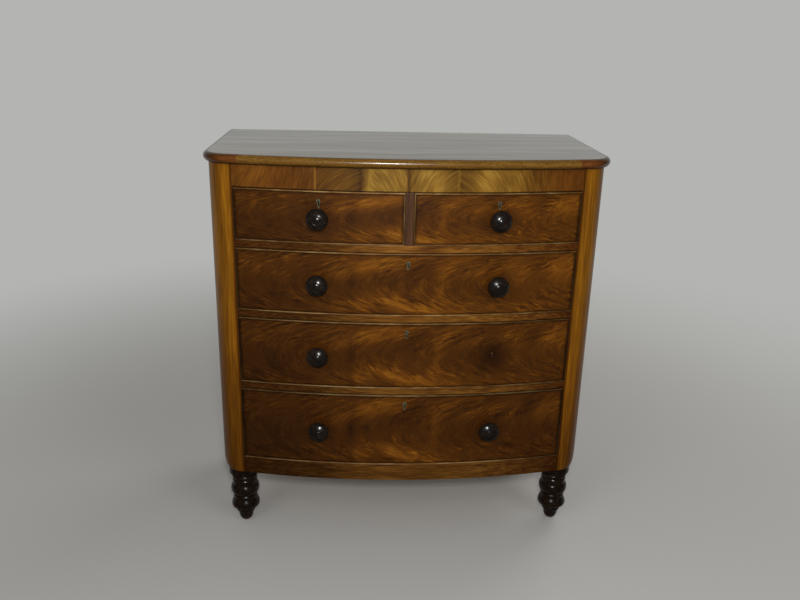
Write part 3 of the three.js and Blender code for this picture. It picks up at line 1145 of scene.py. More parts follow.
@dataclass(frozen=True)
class Pine(GrainedWood):
    """Planed pine of the inside and back, unpolished and browned with age.

    It gives the eye wide pale grain with darker late wood lines, a few knots and a dull surface.
    """

    layers: tuple[Layer, ...] = (Layer(22, 500, 1, 0.6), Layer(6, 300, 1, 0.7), Layer(1.2, 40, 2, 0.25))
    stops: Stops = ((0.1, "6e4c26"), (0.4, "9a7442"), (0.6, "ab8652"), (0.9, "bd9a66"))
    knots_per_metre: tuple[float, float] = (5.0, 2.2)
    knot: Span = Span(0.03, 0.085, 1.0, 0.0)
    knot_colour: str = "4a2a12"

    def shade(self, graph: Graph, place: Feed, colour: Feed) -> Feed:
        """Adds small dark knots near the points of a Voronoi pattern, so many to a metre across and along.

        Args:
            graph: The material's graph.
            place: Object coordinates.
            colour: The wood's colour.

        Returns:
            The colour with knots.
        """
        squeezed = graph.times(place, self.grain.scale(*self.knots_per_metre))
        cell = graph.add(Kind.VORONOI, {"Vector": squeezed, "Scale": 1.0, "Randomness": 1.0})
        knot = graph.add(Kind.RANGE, self.knot.of(cell), interpolation_type="SMOOTHSTEP")
        return graph.add(Kind.MIX, {0: knot, 6: colour, 7: linear(self.knot_colour)}, data_type="RGBA")


@dataclass(frozen=True)
class OldMetal(Finish):
    """Cast and filed metal, dulled by age: brass gone greenish, or iron gone brown."""

    uneven: tuple[float, float] = (0.15, 0.0)
    layers: tuple[Layer, ...] = (Layer(6, 6, 3, 1.2), Layer(0.6, 8, 1, 0.3))
    stops: Stops = ((0.2, "3e3c2c"), (0.5, "67664f"), (0.8, "8e8d78"))

    def paint(self, graph: Graph) -> Painted:
        """Draws blotches of tarnish and fine file marks.

        Args:
            graph: The material's graph.

        Returns:
            The colour, roughness and height.
        """
        place = graph.add(Kind.COORD).outputs["Object"]
        value = streaks(graph, place, self.layers, 0.5, Grain.X)
        colour = graph.add(Kind.RAMP, {0: value}, stops=self.stops)
        return Painted(colour, self.dulled(graph, value), value)


FLAME = FlameVeneer("flame_mahogany_veneer", roughness=0.33, specular=0.16, relief=0.1)
STILE = StileMahogany("stile_mahogany_polished", roughness=0.3, specular=0.14, relief=0.1)
RAIL = RailMahogany("rail_mahogany_polished", roughness=0.35, specular=0.14)
PARTITION = GrainedWood(
    "partition_mahogany_polished",
    roughness=0.35,
    specular=0.25,
    stops=((0.1, "2c190d"), (0.5, "442a18"), (0.9, "5e3c22")),
)
FRIEZE = FriezeVeneer("frieze_fan_veneer", roughness=0.33, specular=0.2, relief=0.1)
TOP = TopMahogany(
    "top_mahogany_polished", roughness=0.34, specular=0.5, coat=1.0, coat_roughness=0.2, relief=0.08
)
NOSING = NosingMahogany("nosing_mahogany_crossbanded", roughness=0.2, specular=0.5, relief=0.05)
NOSING_UNDER = NosingMahogany("nosing_mahogany_dull_below", roughness=0.6, specular=0.05, relief=0.08)
# Level beads: worn wood, partly painted highlight where they catch the light.
BEAD = BeadMahogany("cock_bead_mahogany_worn_and_lit", roughness=0.4, specular=0.2)
# Upright beads: a copy painted darker, as shade where no highlight falls.
BEAD_UPRIGHT_SHADED = BeadMahogany(
    "cock_bead_mahogany_upright_shaded",
    roughness=0.42,
    specular=0.15,
    grain=Grain.Z,
    across=(
        (0.04, "5a5a5a"),
        (0.3, "6a6a6a"),
        (0.45, "b4b4b4"),
        (0.55, "b4b4b4"),
        (0.7, "6a6a6a"),
        (0.9, "545454"),
    ),
)
KNOB = DarkPolish("knob_wood_stained_polished", roughness=0.18, specular=0.45, relief=0.015)
FOOT = DarkPolish(
    "foot_wood_stained_polished",
    roughness=0.18,
    specular=0.26,
    relief=0.05,
    worn_below=0.012,
    stops=((0.1, "0c0805"), (0.5, "170f09"), (0.9, "2c1e12")),
)
STEM = BrokenWood("stem_wood_broken", roughness=0.8, specular=0.1, relief=0.6, relief_mm=0.5)
PINE_X, PINE_Y, PINE_Z = (
    Pine(f"pine_planed_along_{grain.value}", roughness=0.7, grain=grain)
    for grain in (Grain.X, Grain.Y, Grain.Z)
)
BRASS = OldMetal("brass_cast_tarnished", roughness=0.45, metallic=0.55)
IRON = OldMetal(
    "iron_wrought_rusted",
    roughness=0.55,
    metallic=0.7,
    stops=((0.2, "1e1814"), (0.5, "3a3028"), (0.8, "5c4a3a")),
)


# The veneer's figure


def follow(table: Pairs, x: Array) -> Array:
    """The value at each x, straight between the table's places."""
    return np.interp(x, *np.array(table).T)


def soft_step(x: Array, amount: float, place: float, width: float) -> Array:
    """Goes from 0 to the amount about a place: amount over one plus e to the place less x, over the width."""
    return amount / (1 + np.exp((place - x) / width))


@dataclass(frozen=True)
class Cloud:
    """A light or dark cloud in the figure: its middle, half lengths, tilt in degrees and strength."""

    x: float
    v: float
    long: float
    short: float
    tilt: float
    gain: float

    def at(self, x: Array, v: Array) -> Array:
        """A Gaussian hill: gain times e to minus half the squared distance in its own axes.

        Args:
            x: Place across the chest.
            v: Height over the drawer's middle.

        Returns:
            How much lighter the veneer is.
        """
        c, s = math.cos(math.radians(self.tilt)), math.sin(math.radians(self.tilt))
        along, across = (x - self.x) * c + (v - self.v) * s, (v - self.v) * c - (x - self.x) * s
        return self.gain * np.exp(-0.5 * ((along / self.long) ** 2 + (across / self.short) ** 2))


@dataclass(frozen=True)
class FlameLeaf:
    """The figure of the leaf that every drawer front was cut from, drawn for a front of one height.

    The drawers' cuts lie apart in the noise, so that no two fronts have the same fine lines. The steps are
    each an amount, a place across the chest and a width.
    """

    height: float = 0.189
    apart: float = 0.23
    focus_up: float = 0.022
    focus_down: float = 0.026
    ground: float = 0.43
    dull_left: tuple[float, float, float] = (0.07, -0.25, -0.03)
    quiet: float = 0.05
    eddies: tuple[float, float, float] = (0.07, 0.25, 0.04)
    clouds: tuple[Cloud, ...] = (
        Cloud(-0.150, 0.050, 0.060, 0.015, 15, 0.16),
        Cloud(-0.050, 0.066, 0.060, 0.014, 14, 0.15),
        Cloud(-0.165, 0.005, 0.045, 0.014, 85, -0.11),
        Cloud(-0.132, -0.064, 0.026, 0.016, -35, 0.11),
        Cloud(0.045, -0.074, 0.070, 0.013, -11, 0.21),
        Cloud(-0.030, -0.060, 0.038, 0.012, -25, 0.11),
        Cloud(-0.025, -0.020, 0.032, 0.010, 65, 0.07),
        Cloud(0.097, 0.004, 0.036, 0.010, 86, 0.09),
        Cloud(0.130, 0.062, 0.060, 0.014, 27, 0.11),
        Cloud(0.205, 0.040, 0.035, 0.012, 12, 0.10),
        Cloud(0.300, 0.058, 0.060, 0.012, 22, 0.08),
        Cloud(0.335, 0.030, 0.028, 0.016, 0, 0.08),
        Cloud(0.450, 0.045, 0.042, 0.026, 20, 0.16),
        Cloud(0.235, -0.072, 0.095, 0.014, -9, 0.06),
        Cloud(-0.010, 0.020, 0.090, 0.026, 5, -0.06),
        Cloud(0.030, 0.045, 0.030, 0.018, 25, -0.07),
        Cloud(0.390, 0.052, 0.020, 0.012, 30, -0.10),
        Cloud(-0.470, -0.060, 0.110, 0.050, 0, -0.06),
        Cloud(-0.380, 0.062, 0.100, 0.020, 8, 0.04),
    )

    def streak(self, x: Array, v: Array) -> tuple[Array, Array]:
        """Place across and along the streaks, each of which is a parabola's arc.

        Across is x less v squared over twice the focus f. Along is the arc's length from mid-height: half of
        v times the root of one plus v over f squared, plus half of f times the inverse hyperbolic sine of v
        over f.

        Args:
            x: Place across the chest.
            v: Height over the drawer's middle.

        Returns:
            Both places.
        """
        focus = np.where(v > 0, self.focus_up, self.focus_down)
        slope = v / focus
        return x - v * slope / 2, (v * np.sqrt(1 + slope**2) + focus * np.arcsinh(slope)) / 2

    def tone(self, x: Array, v: Array) -> Array:
        """Base value: the clouds, on a ground that is duller left of the flame."""
        return self.ground - soft_step(x, *self.dull_left) + sum(cloud.at(x, v) for cloud in self.clouds)

    def curl(self, x: Array) -> Array:
        """How far the streaks wander, most at the right where the figure breaks into eddies."""
        return self.quiet + soft_step(x, *self.eddies)


@dataclass(frozen=True)
class FanFigure:
    """The frieze's fans, as tables along x: how far the streaks lean, how light they are, and how red.

    The joints part its sheets of veneer, which lie apart in the noise.
    """

    lean: Pairs = (
        (-0.5, 0.3), (-0.45, 0.7), (-0.4, 0.3), (-0.265, 0.1), (-0.264, 0.6), (-0.19, 1.4),
        (-0.137, 1.9), (-0.136, 1.2), (-0.1, -0.9), (-0.05, -0.45), (-0.0056, -0.25), (-0.0055, 0.25),
        (0.06, 0.5), (0.12, 1.0), (0.1366, 1.2), (0.1367, -1.6), (0.2, -1.0), (0.26, -0.5),
        (0.33, -0.3), (0.4, 0.0), (0.5, 0.1),
    )
    tone: Pairs = (
        (-0.5, 0.42), (-0.45, 0.55), (-0.42, 0.6), (-0.36, 0.44), (-0.28, 0.38), (-0.27, 0.36),
        (-0.265, 0.76), (-0.26, 0.36), (-0.22, 0.34), (-0.17, 0.4), (-0.145, 0.26), (-0.138, 0.12),
        (-0.128, 0.42), (-0.11, 0.66), (-0.06, 0.62), (-0.012, 0.58), (-0.0046, 0.2), (0.003, 0.56),
        (0.05, 0.66), (0.09, 0.6), (0.13, 0.36), (0.1367, 0.54), (0.143, 0.34), (0.17, 0.42),
        (0.21, 0.7), (0.25, 0.6), (0.31, 0.56), (0.36, 0.42), (0.5, 0.4),
    )
    red: Pairs = (
        (-0.5, 0.85), (-0.28, 0.95), (-0.26, 0.6), (-0.14, 0.25), (-0.12, 0.0), (0.3, 0.1),
        (0.4, 0.85), (0.5, 1.0),
    )
    joints: tuple[float, ...] = (-0.2645, -0.1365, -0.0055, 0.13665)
    apart: float = 1.7
    hub: float = 0.02

    def leaf(self, x: Array, v: Array) -> Array:
        """Place across the streaks (x less the lean times the height over the hub), height and sheet."""
        sheet = np.searchsorted(np.array(self.joints), x) * self.apart
        return np.column_stack([x - follow(self.lean, x) * (v - self.hub), v, sheet])


LEAF = FlameLeaf()
FANS = FanFigure()


# The carcase


@dataclass(frozen=True)
class TopBoard:
    """The top: square at the back, its other edges rounded to a nosing.

    Of its thickness, the part over flat_from is the board's face, and the nosing is dull under dull_below.
    """

    thickness: float = 0.027
    side: float = 0.012
    front: float = 0.027
    rise: float = 0.065
    corner: float = 0.088
    nosing: float = 0.0135
    turns: int = 20
    corner_steps: int = 26
    bow_points: int = 81
    flat_from: float = 0.998
    dull_below: float = 0.16

    def outline(self, inset: float) -> tuple[Array, Array]:
        """The plan at an inset: a bow, two corner arcs tangent to it, and straight sides to the back.

        Args:
            inset: How far the outline is drawn in from the widest one.

        Returns:
            The points, and the run along the edge from the middle of the front at each.
        """
        half = PLAN.half_width + self.side
        radius = (half**2 + self.rise**2) / (2 * self.rise)
        centre = PLAN.back + radius - PLAN.depth - self.front - self.rise
        r = self.corner - inset
        cx = half - self.corner
        cy = centre - math.sqrt((radius - self.corner) ** 2 - cx**2)
        start = math.atan2(cy - centre, cx)
        corner = arc(cx, cy, r, start, 0.0, self.corner_steps)
        xs = np.linspace(-cx, cx, self.bow_points)[1:-1]
        bow = np.column_stack([xs, centre - np.sqrt((radius - inset) ** 2 - xs**2)])
        right = np.vstack([corner, [[half - inset, PLAN.back]]])
        left = right[::-1] * [-1, 1]
        points = np.vstack([left, bow, right])
        run = np.concatenate([[0], np.cumsum(np.linalg.norm(np.diff(points, axis=0), axis=1))])
        return points, run - run[-1] / 2

    def build(self) -> bpy.types.Mesh:
        """Stacks the outlines: at angle a the height goes as one less cosine, and the inset as one less sine.

        Returns:
            The mesh, with its band attribute.
        """
        angles = np.linspace(0, np.pi, self.turns + 1)
        plans = [self.outline(self.nosing * (1 - math.sin(a)))[0] for a in angles]
        z = PLAN.body_top + self.thickness * (1 - np.cos(angles)) / 2
        mesh = Shell().tube(stacked(plans, z)).mesh("top_board_mesh")
        points = points_of(mesh)
        outer, run = self.outline(0.0)
        hub = PLAN.back + MM  # Runs are found by their bearing from just behind the middle of the back edge
        seen = np.arctan2(outer[:, 0], hub - outer[:, 1])
        along = np.interp(np.arctan2(points[:, 0], hub - points[:, 1]), seen, run)
        level = np.arccos(np.clip(1 - 2 * (points[:, 2] - PLAN.body_top) / self.thickness, -1, 1)) / np.pi
        write_vectors(mesh, "band", np.column_stack([along, level, 0 * level]))
        middles = face_middles(mesh)
        rise = (middles[:, 2] - PLAN.body_top) / self.thickness
        before_back = middles[:, 1] < PLAN.back - 10 * ON_EDGE
        paint_where(mesh, 1, (rise < self.flat_from) & before_back)
        paint_where(mesh, 2, (rise < self.dull_below) & before_back)
        return mesh

    def dress(self) -> None:
        """Puts the top in the scene."""
        finishes = [TOP, NOSING, NOSING_UNDER]
        make_piece("top_board_polished", self.build(), Body.CARCASE, finishes, ("top_board",))


@dataclass(frozen=True)
class Carcase:
    """Stiles, sides, rails, boards and feet."""

    floors: tuple[float, ...] = (0.2655, 0.5285, 0.7625, 0.9755)
    guide: float = 0.020
    planks: int = 7
    plank_gap: float = 0.0008
    plank_relief: float = 0.0006
    nail_from_end: float = 0.012
    nail_from_side: float = 0.030
    nail_line_mm: Pairs = ((0.0, 0.4), (2.8, 0.3), (3.1, -0.4), (0.0, -0.4))
    corner_steps: int = 26
    bow_steps: int = 3
    partition_steps: int = 4
    foot_line_mm: Pairs = (
        (0.0, 0.0), (10.5, 0.0), (12.5, 1.5), (18.5, 8.5), (21.8, 17.0), (23.2, 27.0),
        (23.8, 34.0), (27.6, 35.6), (29.8, 39.5), (30.2, 43.5), (29.2, 47.5), (26.6, 51.0),
        (25.8, 52.5), (34.0, 53.5), (41.0, 56.5), (44.6, 61.0), (45.2, 66.0), (44.4, 71.5),
        (42.2, 77.5), (38.8, 83.5), (36.4, 88.0), (35.4, 92.0), (37.8, 93.2), (38.6, 96.0),
        (38.0, 99.0), (36.2, 101.5), (35.6, 103.0), (39.0, 106.0), (43.0, 111.0), (45.2, 117.5),
        (45.5, 124.5), (44.9, 131.0), (43.0, 136.4), (40.2, 140.3), (39.1, 145.0), (38.6, 151.0),
        (39.8, 152.5), (40.2, 155.0), (39.2, 158.0), (37.4, 161.0), (36.8, 163.0), (39.6, 164.8),
        (41.2, 168.5), (40.8, 172.0), (38.6, 175.2), (36.6, 177.3), (36.4, 179.0), (0.0, 179.0),
    )
    foot_corners: tuple[int, ...] = (1, 6, 12, 21, 26, 35, 40, 46)
    pad_line_mm: Pairs = (
        (0.0, 179.0), (37.0, 179.0), (41.0, 181.0), (42.0, 185.5), (42.0, 208.5), (40.5, 210.0), (0.0, 210.0),
    )
    pad_corners: tuple[int, ...] = (1, 3, 4, 5)
    pad_shift: float = 0.007

    def toe(self, steps: int = 10) -> tuple[Array, Array]:
        """How the lower edge turns in: the inset goes as one less sine, the height as one less cosine."""
        angle = np.linspace(0, np.pi / 2, steps + 1)
        return PLAN.toe_inset * (1 - np.sin(angle)), PLAN.foot_height + PLAN.toe_height * (1 - np.cos(angle))

    def stile(self, side: int) -> bpy.types.Mesh:
        """A corner stile: flat inside, bowed in front, rounded outside, stacked over the turned-in toe.

        Args:
            side: -1 for the left one, 1 for the right one.

        Returns:
            The mesh.
        """

        def plan(inset: float) -> Array:
            """The plan at an inset, counterclockwise on the right.

            Args:
                inset: How far its outer side is drawn in.

            Returns:
                Points, two columns.
            """
            r = min(PLAN.corner, PLAN.stile_width - inset - MM)
            cx = PLAN.half_width - inset - r
            cy = PLAN.centre - math.sqrt((PLAN.radius - r) ** 2 - cx**2)
            start = math.atan2(cy - PLAN.centre, cx)
            corner = arc(cx, cy, r, start, 0.0, self.corner_steps)
            xs = np.linspace(PLAN.opening_half, corner[0, 0], self.bow_steps + 1)[:-1]
            bow = np.column_stack([xs, PLAN.bow(xs)])
            ends = [[PLAN.half_width - inset, PLAN.rail_back], [PLAN.opening_half, PLAN.rail_back]]
            return np.vstack([bow, corner, ends]) * [side, 1]

        inset, z = self.toe()
        rows = stacked([plan(i) for i in (*inset, 0.0)], (*z, PLAN.body_top))
        return Shell().tube(rows).mesh("stile_mesh")

    def side_panel(self, side: int) -> bpy.types.Mesh:
        """A carcase side behind its stile, with the turned-in lower edge.

        Args:
            side: -1 for the left one, 1 for the right one.

        Returns:
            The mesh.
        """
        inset, z = self.toe()
        outer = np.column_stack([PLAN.half_width - inset, z])
        top = [[PLAN.half_width, PLAN.body_top], [PLAN.inner_half, PLAN.body_top]]
        ring = np.vstack([[[PLAN.inner_half, PLAN.foot_height]], outer, top]) * [side, 1]
        return Shell().tube(drawn_out(ring, (PLAN.rail_back, PLAN.back))).mesh("side_mesh")

    def bar(self, z0: float, z1: float, columns: int = 65, rows: int = 2) -> bpy.types.Mesh:
        """A rail between the stiles, bowed in front and straight behind.

        Args:
            z0: Its lower face.
            z1: Its upper face.
            columns: Stations across the chest.
            rows: Points up its face.

        Returns:
            The mesh.
        """
        up = np.linspace(z0, z1, rows)
        z = np.concatenate([up, up[::-1]])
        share = np.repeat([0.0, 1.0], rows)
        xs = np.linspace(-PLAN.opening_half, PLAN.opening_half, columns)
        return Shell().tube(bowed_bar(xs, 0 * z, share, z, PLAN.rail_back)).mesh("rail_mesh")

    def place(
        self,
        name: str,
        mesh: bpy.types.Mesh,
        slot: Slot,
        finishes: list[Finish],
        node: str,
        arris_mm: float = 0.0,
    ) -> None:
        """Puts a piece of the carcase in the scene.

        Args:
            name: The piece's name.
            mesh: Its mesh.
            slot: The record's material slot; not used.
            finishes: Its materials.
            node: The node that it stands for, or helps to.
            arris_mm: Width of its worn edges in millimetres.
        """
        make_piece(name, mesh, Body.CARCASE, finishes, (node,), arris_mm * MM)

    def dress_frame(self) -> None:
        """Puts the stiles, the sides and their drawer guides in the scene."""
        for label, side in (("left", -1), ("right", 1)):
            stile, panel = "stile_" + label, "side_" + label
            self.place(stile + "_polished", self.stile(side), Slot.CARCASE, [STILE], stile, arris_mm=0.7)
            mesh = self.side_panel(side)
            paint_where(mesh, 1, np.abs(face_middles(mesh)[:, 0]) < PLAN.inner_half + ON_EDGE)
            self.place(panel + "_polished", mesh, Slot.CARCASE, [STILE, PINE_Z], panel, arris_mm=0.7)
            shell = Shell()
            edges = sorted((side * PLAN.opening_half, side * PLAN.inner_half))
            for floor in self.floors:
                ends = (PLAN.rail_back, PLAN.back - PLAN.back_board - FIT)
                shell.box(*edges, *ends, floor, floor + self.guide)
            self.place(panel + "_guides", shell.mesh("guide_mesh"), Slot.PINE, [PINE_Y], panel, arris_mm=0.8)

    def dress_rails(self) -> None:
        """Puts the rails, their dustboards and the partition in the scene."""
        for name in DIVIDERS:
            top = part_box(name)[1].z
            self.place(name + "_rail", self.bar(top - PLAN.rail, top), Slot.RAIL, [RAIL], name, arris_mm=0.9)
            self.dress_board(name + "_dustboard", top - PLAN.dustboard, name)
        self.dress_board("frieze_rail_kicker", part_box("frieze_rail")[0].z, "frieze_rail")
        low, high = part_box("bottom_rail")
        mesh = self.bar(low.z, high.z)
        self.place("bottom_rail_polished", mesh, Slot.RAIL, [RAIL], "bottom_rail", arris_mm=1.2)
        low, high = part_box("partition")
        z = np.array([low.z, high.z, high.z, low.z])
        xs = np.linspace(low.x, high.x, self.partition_steps + 1)
        mesh = Shell().tube(bowed_bar(xs, 0 * z, np.array([0, 0, 1, 1]), z, high.y)).mesh("partition_mesh")
        paint_where(mesh, 1, face_middles(mesh)[:, 1] > PLAN.rail_back)
        self.place("partition_polished", mesh, Slot.RAIL, [PARTITION, PINE_Y], "partition", arris_mm=0.8)

    def dress_board(self, name: str, z: float, node: str) -> None:
        """Puts a board between the sides, behind its rail.

        Args:
            name: The piece's name.
            z: The board's lower face.
            node: The node that it stands for, with the rail.
        """
        ends = (-PLAN.inner_half, PLAN.inner_half, PLAN.rail_back, PLAN.back - PLAN.back_board)
        mesh = Shell().box(*ends, z, z + PLAN.dustboard).mesh("board_mesh")
        self.place(name, mesh, Slot.PINE, [PINE_X], node, arris_mm=0.6)

    def dress_frieze(self) -> None:
        """Puts the frieze rail in the scene, with the veneer's fans as attributes."""
        low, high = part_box("frieze_rail")
        mesh = self.bar(low.z, high.z, columns=401, rows=9)
        points = points_of(mesh)
        x, v = points[:, 0], points[:, 2] - low.z
        edge = np.minimum(np.abs(v), np.abs(high.z - low.z - v))
        write_vectors(mesh, "leaf", FANS.leaf(x, v))
        write_vectors(mesh, "figure", np.column_stack([follow(FANS.tone, x), edge, follow(FANS.red, x)]))
        self.place("frieze_rail_veneered", mesh, Slot.CARCASE, [FRIEZE], "frieze_rail")

    def dress_back(self) -> None:
        """Puts the back in the scene as upright planks with worn edges, and the nails that hold them."""
        low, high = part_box("back_panel")
        edges = np.linspace(low.x, high.x, self.planks + 1)
        shell = Shell()
        play, rear = self.plank_gap / 2, high.y - self.plank_relief
        for x0, x1 in zip(edges[:-1], edges[1:]):
            shell.box(x0 + play, x1 - play, low.y, rear, low.z, high.z)
        mesh = shell.mesh("back_mesh")
        self.place("back_panel_planks", mesh, Slot.PINE, [PINE_Z], "back_panel", arris_mm=1.6)
        head = turned(np.array(self.nail_line_mm) * MM, segments=10)
        nails = Shell()
        for z in (low.z + self.nail_from_end, high.z - self.nail_from_end):
            for x in np.concatenate([edges[:-1] + self.nail_from_side, edges[1:] - self.nail_from_side]):
                nail = np.stack([x + head[..., 0], rear + head[..., 2], z + head[..., 1]], -1)
                nails.grid(nail, wrap_cols=True)
        make_piece("back_panel_nails", nails.mesh("nail_mesh"), Body.CARCASE, [IRON])

    def dress_feet(self) -> None:
        """Puts the turned feet in the scene, each under a round pad set a little outwards."""
        line = smooth_line(np.array(self.foot_line_mm) * MM, steps=5, corners=self.foot_corners)
        pad_line = smooth_line(np.array(self.pad_line_mm) * MM, steps=5, corners=self.pad_corners)
        for row in ("front", "back"):
            for label, side in (("left", -1), ("right", 1)):
                node = f"foot_{row}_{label}"
                low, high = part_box(node)
                axis = np.array([(low.x + high.x) / 2, (low.y + high.y) / 2, 0.0])
                shell = Shell().grid(turned(line, segments=64) + axis, wrap_cols=True)
                pad = turned(pad_line, segments=64) + axis + [side * self.pad_shift, 0, 0]
                mesh = shell.grid(pad, wrap_cols=True).mesh("foot_mesh")
                self.place(node + "_polished", mesh, Slot.DARK, [FOOT], node)

    def dress(self) -> None:
        """Puts the whole carcase but its top in the scene."""
        self.dress_frame()
        self.dress_rails()
        self.dress_frieze()
        self.dress_back()
        self.dress_feet()
        refinish("bottom_board", PINE_X)


# Drawers


FRONT = 0.024  # Thickness of a drawer's front
CUT = (-0.034, 0.010)  # Reach of the holes' cutters behind and before its face


class Fitting(Enum):
    """What a stem hole carries."""

    KNOB = "knob"
    STUB = "stub"

    @property
    def darkening(self) -> float:
        """How much darker the veneer is round it."""
        return 0.08 if self is Fitting.KNOB else 0.25


@dataclass(frozen=True)
class Knob:
    """A turned knob on its stem, or what is left of one.

    The line has shares of the radius and of the reach. The stem runs from its end behind the face to the
    knob, or to the stub's torn end, which rises from the stub's edge over a short slope.
    """

    radius: float = 0.032
    reach: float = 0.045
    stem: float = 0.0085
    stem_end: float = -0.029
    stub_end: float = 0.0011
    stub_edge: float = 0.0004
    stub_slope: float = 0.0012
    torn: float = 0.0004
    ripple: float = 900.0
    line: Pairs = (
        (0.56, 0.0), (0.565, 0.07), (0.46, 0.125), (0.40, 0.21), (0.50, 0.32), (0.80, 0.41),
        (0.965, 0.48), (1.0, 0.562), (0.96, 0.685), (0.90, 0.747), (0.82, 0.7975), (0.74, 0.836),
        (0.66, 0.870), (0.58, 0.900), (0.50, 0.923), (0.45, 0.937), (0.41, 0.940), (0.37, 0.934),
        (0.34, 0.946), (0.25, 0.971), (0.16, 0.988), (0.07, 0.9975), (0.0, 1.0),
    )
    corners: tuple[int, ...] = (0, 1, 17, 18)

    def build(self, x: float, z: float) -> bpy.types.Mesh:
        """Turns the knob and sets it square to the bow.

        Args:
            x: Place across the chest.
            z: Height.

        Returns:
            The mesh.
        """
        shares = np.array(self.line) * [self.radius, self.reach]
        head = smooth_line(shares, steps=6, corners=self.corners) + [0, FIT]
        stem = [[0.0, self.stem_end], [self.stem, self.stem_end], [self.stem, FIT]]
        xyz = on_front(turned(np.vstack([stem, head]), segments=72), x, z)
        return Shell().grid(xyz, wrap_cols=True).mesh("knob_mesh")

    def stub(self, x: float, z: float) -> bpy.types.Mesh:
        """Turns the broken stem, its end torn: the height varies as a sum of sines of the place on it.

        Args:
            x: Place across the chest.
            z: Height.

        Returns:
            The mesh.
        """
        r = np.linspace(self.stem - self.stub_slope, 0, 9)
        end = np.column_stack([r, np.full(len(r), self.stub_end)])
        stem = [[0.0, self.stem_end], [self.stem, self.stem_end], [self.stem, self.stub_edge]]
        xyz = turned(np.vstack([stem, end]), segments=40)
        a, b = xyz[..., 0] * self.ripple, xyz[..., 1] * self.ripple
        torn = self.torn * (np.sin(a + 2 * np.sin(b)) + np.sin(2.3 * b + a) / 2)
        xyz[len(stem) :, :, 2] += torn[len(stem) :]
        return Shell().grid(on_front(xyz, x, z), wrap_cols=True).mesh("stub_mesh")


@dataclass(frozen=True)
class Lock:
    """A brass lock on the back of a front, and the keyhole liner that shows in its face."""

    width: float = 0.062
    height: float = 0.046
    depth: float = 0.010
    hole_width: float = 0.012
    hole_length: float = 0.024
    wall: float = 0.0030
    play: float = 0.0002
    proud: float = 0.0006
    pin: float = 0.0016
    pin_tip: float = -0.0035
    plate: float = 0.0015
    plate_margins: tuple[float, float] = (0.0040, 0.0035)
    screw_inset: float = 0.008
    screw_line_mm: Pairs = ((0.0, 0.0), (2.0, 0.0), (2.6, 0.4), (1.8, 0.9), (0.0, 1.0))

    @property
    def seat(self) -> float:
        """Depth of the case's face behind the drawer's: the front, the play and the bow's fall over it."""
        return FRONT + FIT + (self.width / 2) ** 2 / (2 * (PLAN.radius - FRONT))

    def outline(self, margin: float) -> Array:
        """The keyhole: a circle on top of a narrower slot, moved outwards by a margin.

        Args:
            margin: How far outside the hole.

        Returns:
            Points, two columns.
        """
        head = self.hole_width / 2 - self.wall + margin
        slot = head / 2
        top = self.hole_length / 2 - self.wall + margin
        lean = math.asin(slot / head)
        ring = arc(0, top - head, head, lean - math.pi / 2, 3 * math.pi / 2 - lean, steps=24)
        return np.vstack([ring, [[-slot, -top], [slot, -top]]])

    def plug(self, x: float, z: float) -> bpy.types.Mesh:
        """The hole's cutter, through the whole front."""
        ring = self.outline(self.wall + self.play)
        return Shell().tube(on_front(stacked([ring, ring], CUT[::-1]), x, z)).mesh("plug_mesh")

    def build(self, x: float, z: float) -> bpy.types.Mesh:
        """Draws the liner's rim round the keyhole, the key's pin, the case, its cap and four screw heads.

        Args:
            x: Place across the chest.
            z: Height of the keyhole's middle.

        Returns:
            The mesh.
        """
        w, p, half_x, half_z = self.wall, self.proud, self.width / 2, self.height / 2
        deep = -self.seat - MM
        margins, depths = zip((0, deep), (0, p / 5), (w / 4, p), (w * 3 / 4, p), (w, p / 5), (w, deep))
        rim = stacked([self.outline(margin) for margin in margins], depths)
        shell = Shell().grid(on_front(rim, x, z), wrap_rows=True, wrap_cols=True)
        blocks = ((0, 0, 0, self.plate), (*self.plate_margins, self.plate, self.depth))
        for less_x, less_z, front, back in blocks:
            ring = oblong(less_x - half_x, half_x - less_x, less_z - half_z, half_z - less_z)
            shell.tube(on_front(stacked([ring, ring], (-self.seat - front, -self.seat - back)), x, z))
        pin = np.array([[0.0, deep], [self.pin, deep], [self.pin, self.pin_tip - MM], [0.0, self.pin_tip]])
        top = self.hole_length / 2 - self.hole_width / 2
        shell.grid(on_front(turned(pin, segments=16) + [0, top, 0], x, z), wrap_cols=True)
        head = turned(np.array(self.screw_line_mm) * MM, segments=14) * [1, 1, -1]
        head = head + [0, 0, MM - self.seat - self.depth]
        for sx in (-1, 1):
            for sz in (-1, 1):
                place = [sx * (half_x - self.screw_inset), sz * (half_z - self.screw_inset), 0.0]
                shell.grid(on_front(head + place, x, z), wrap_cols=True)
        return shell.mesh("lock_mesh")


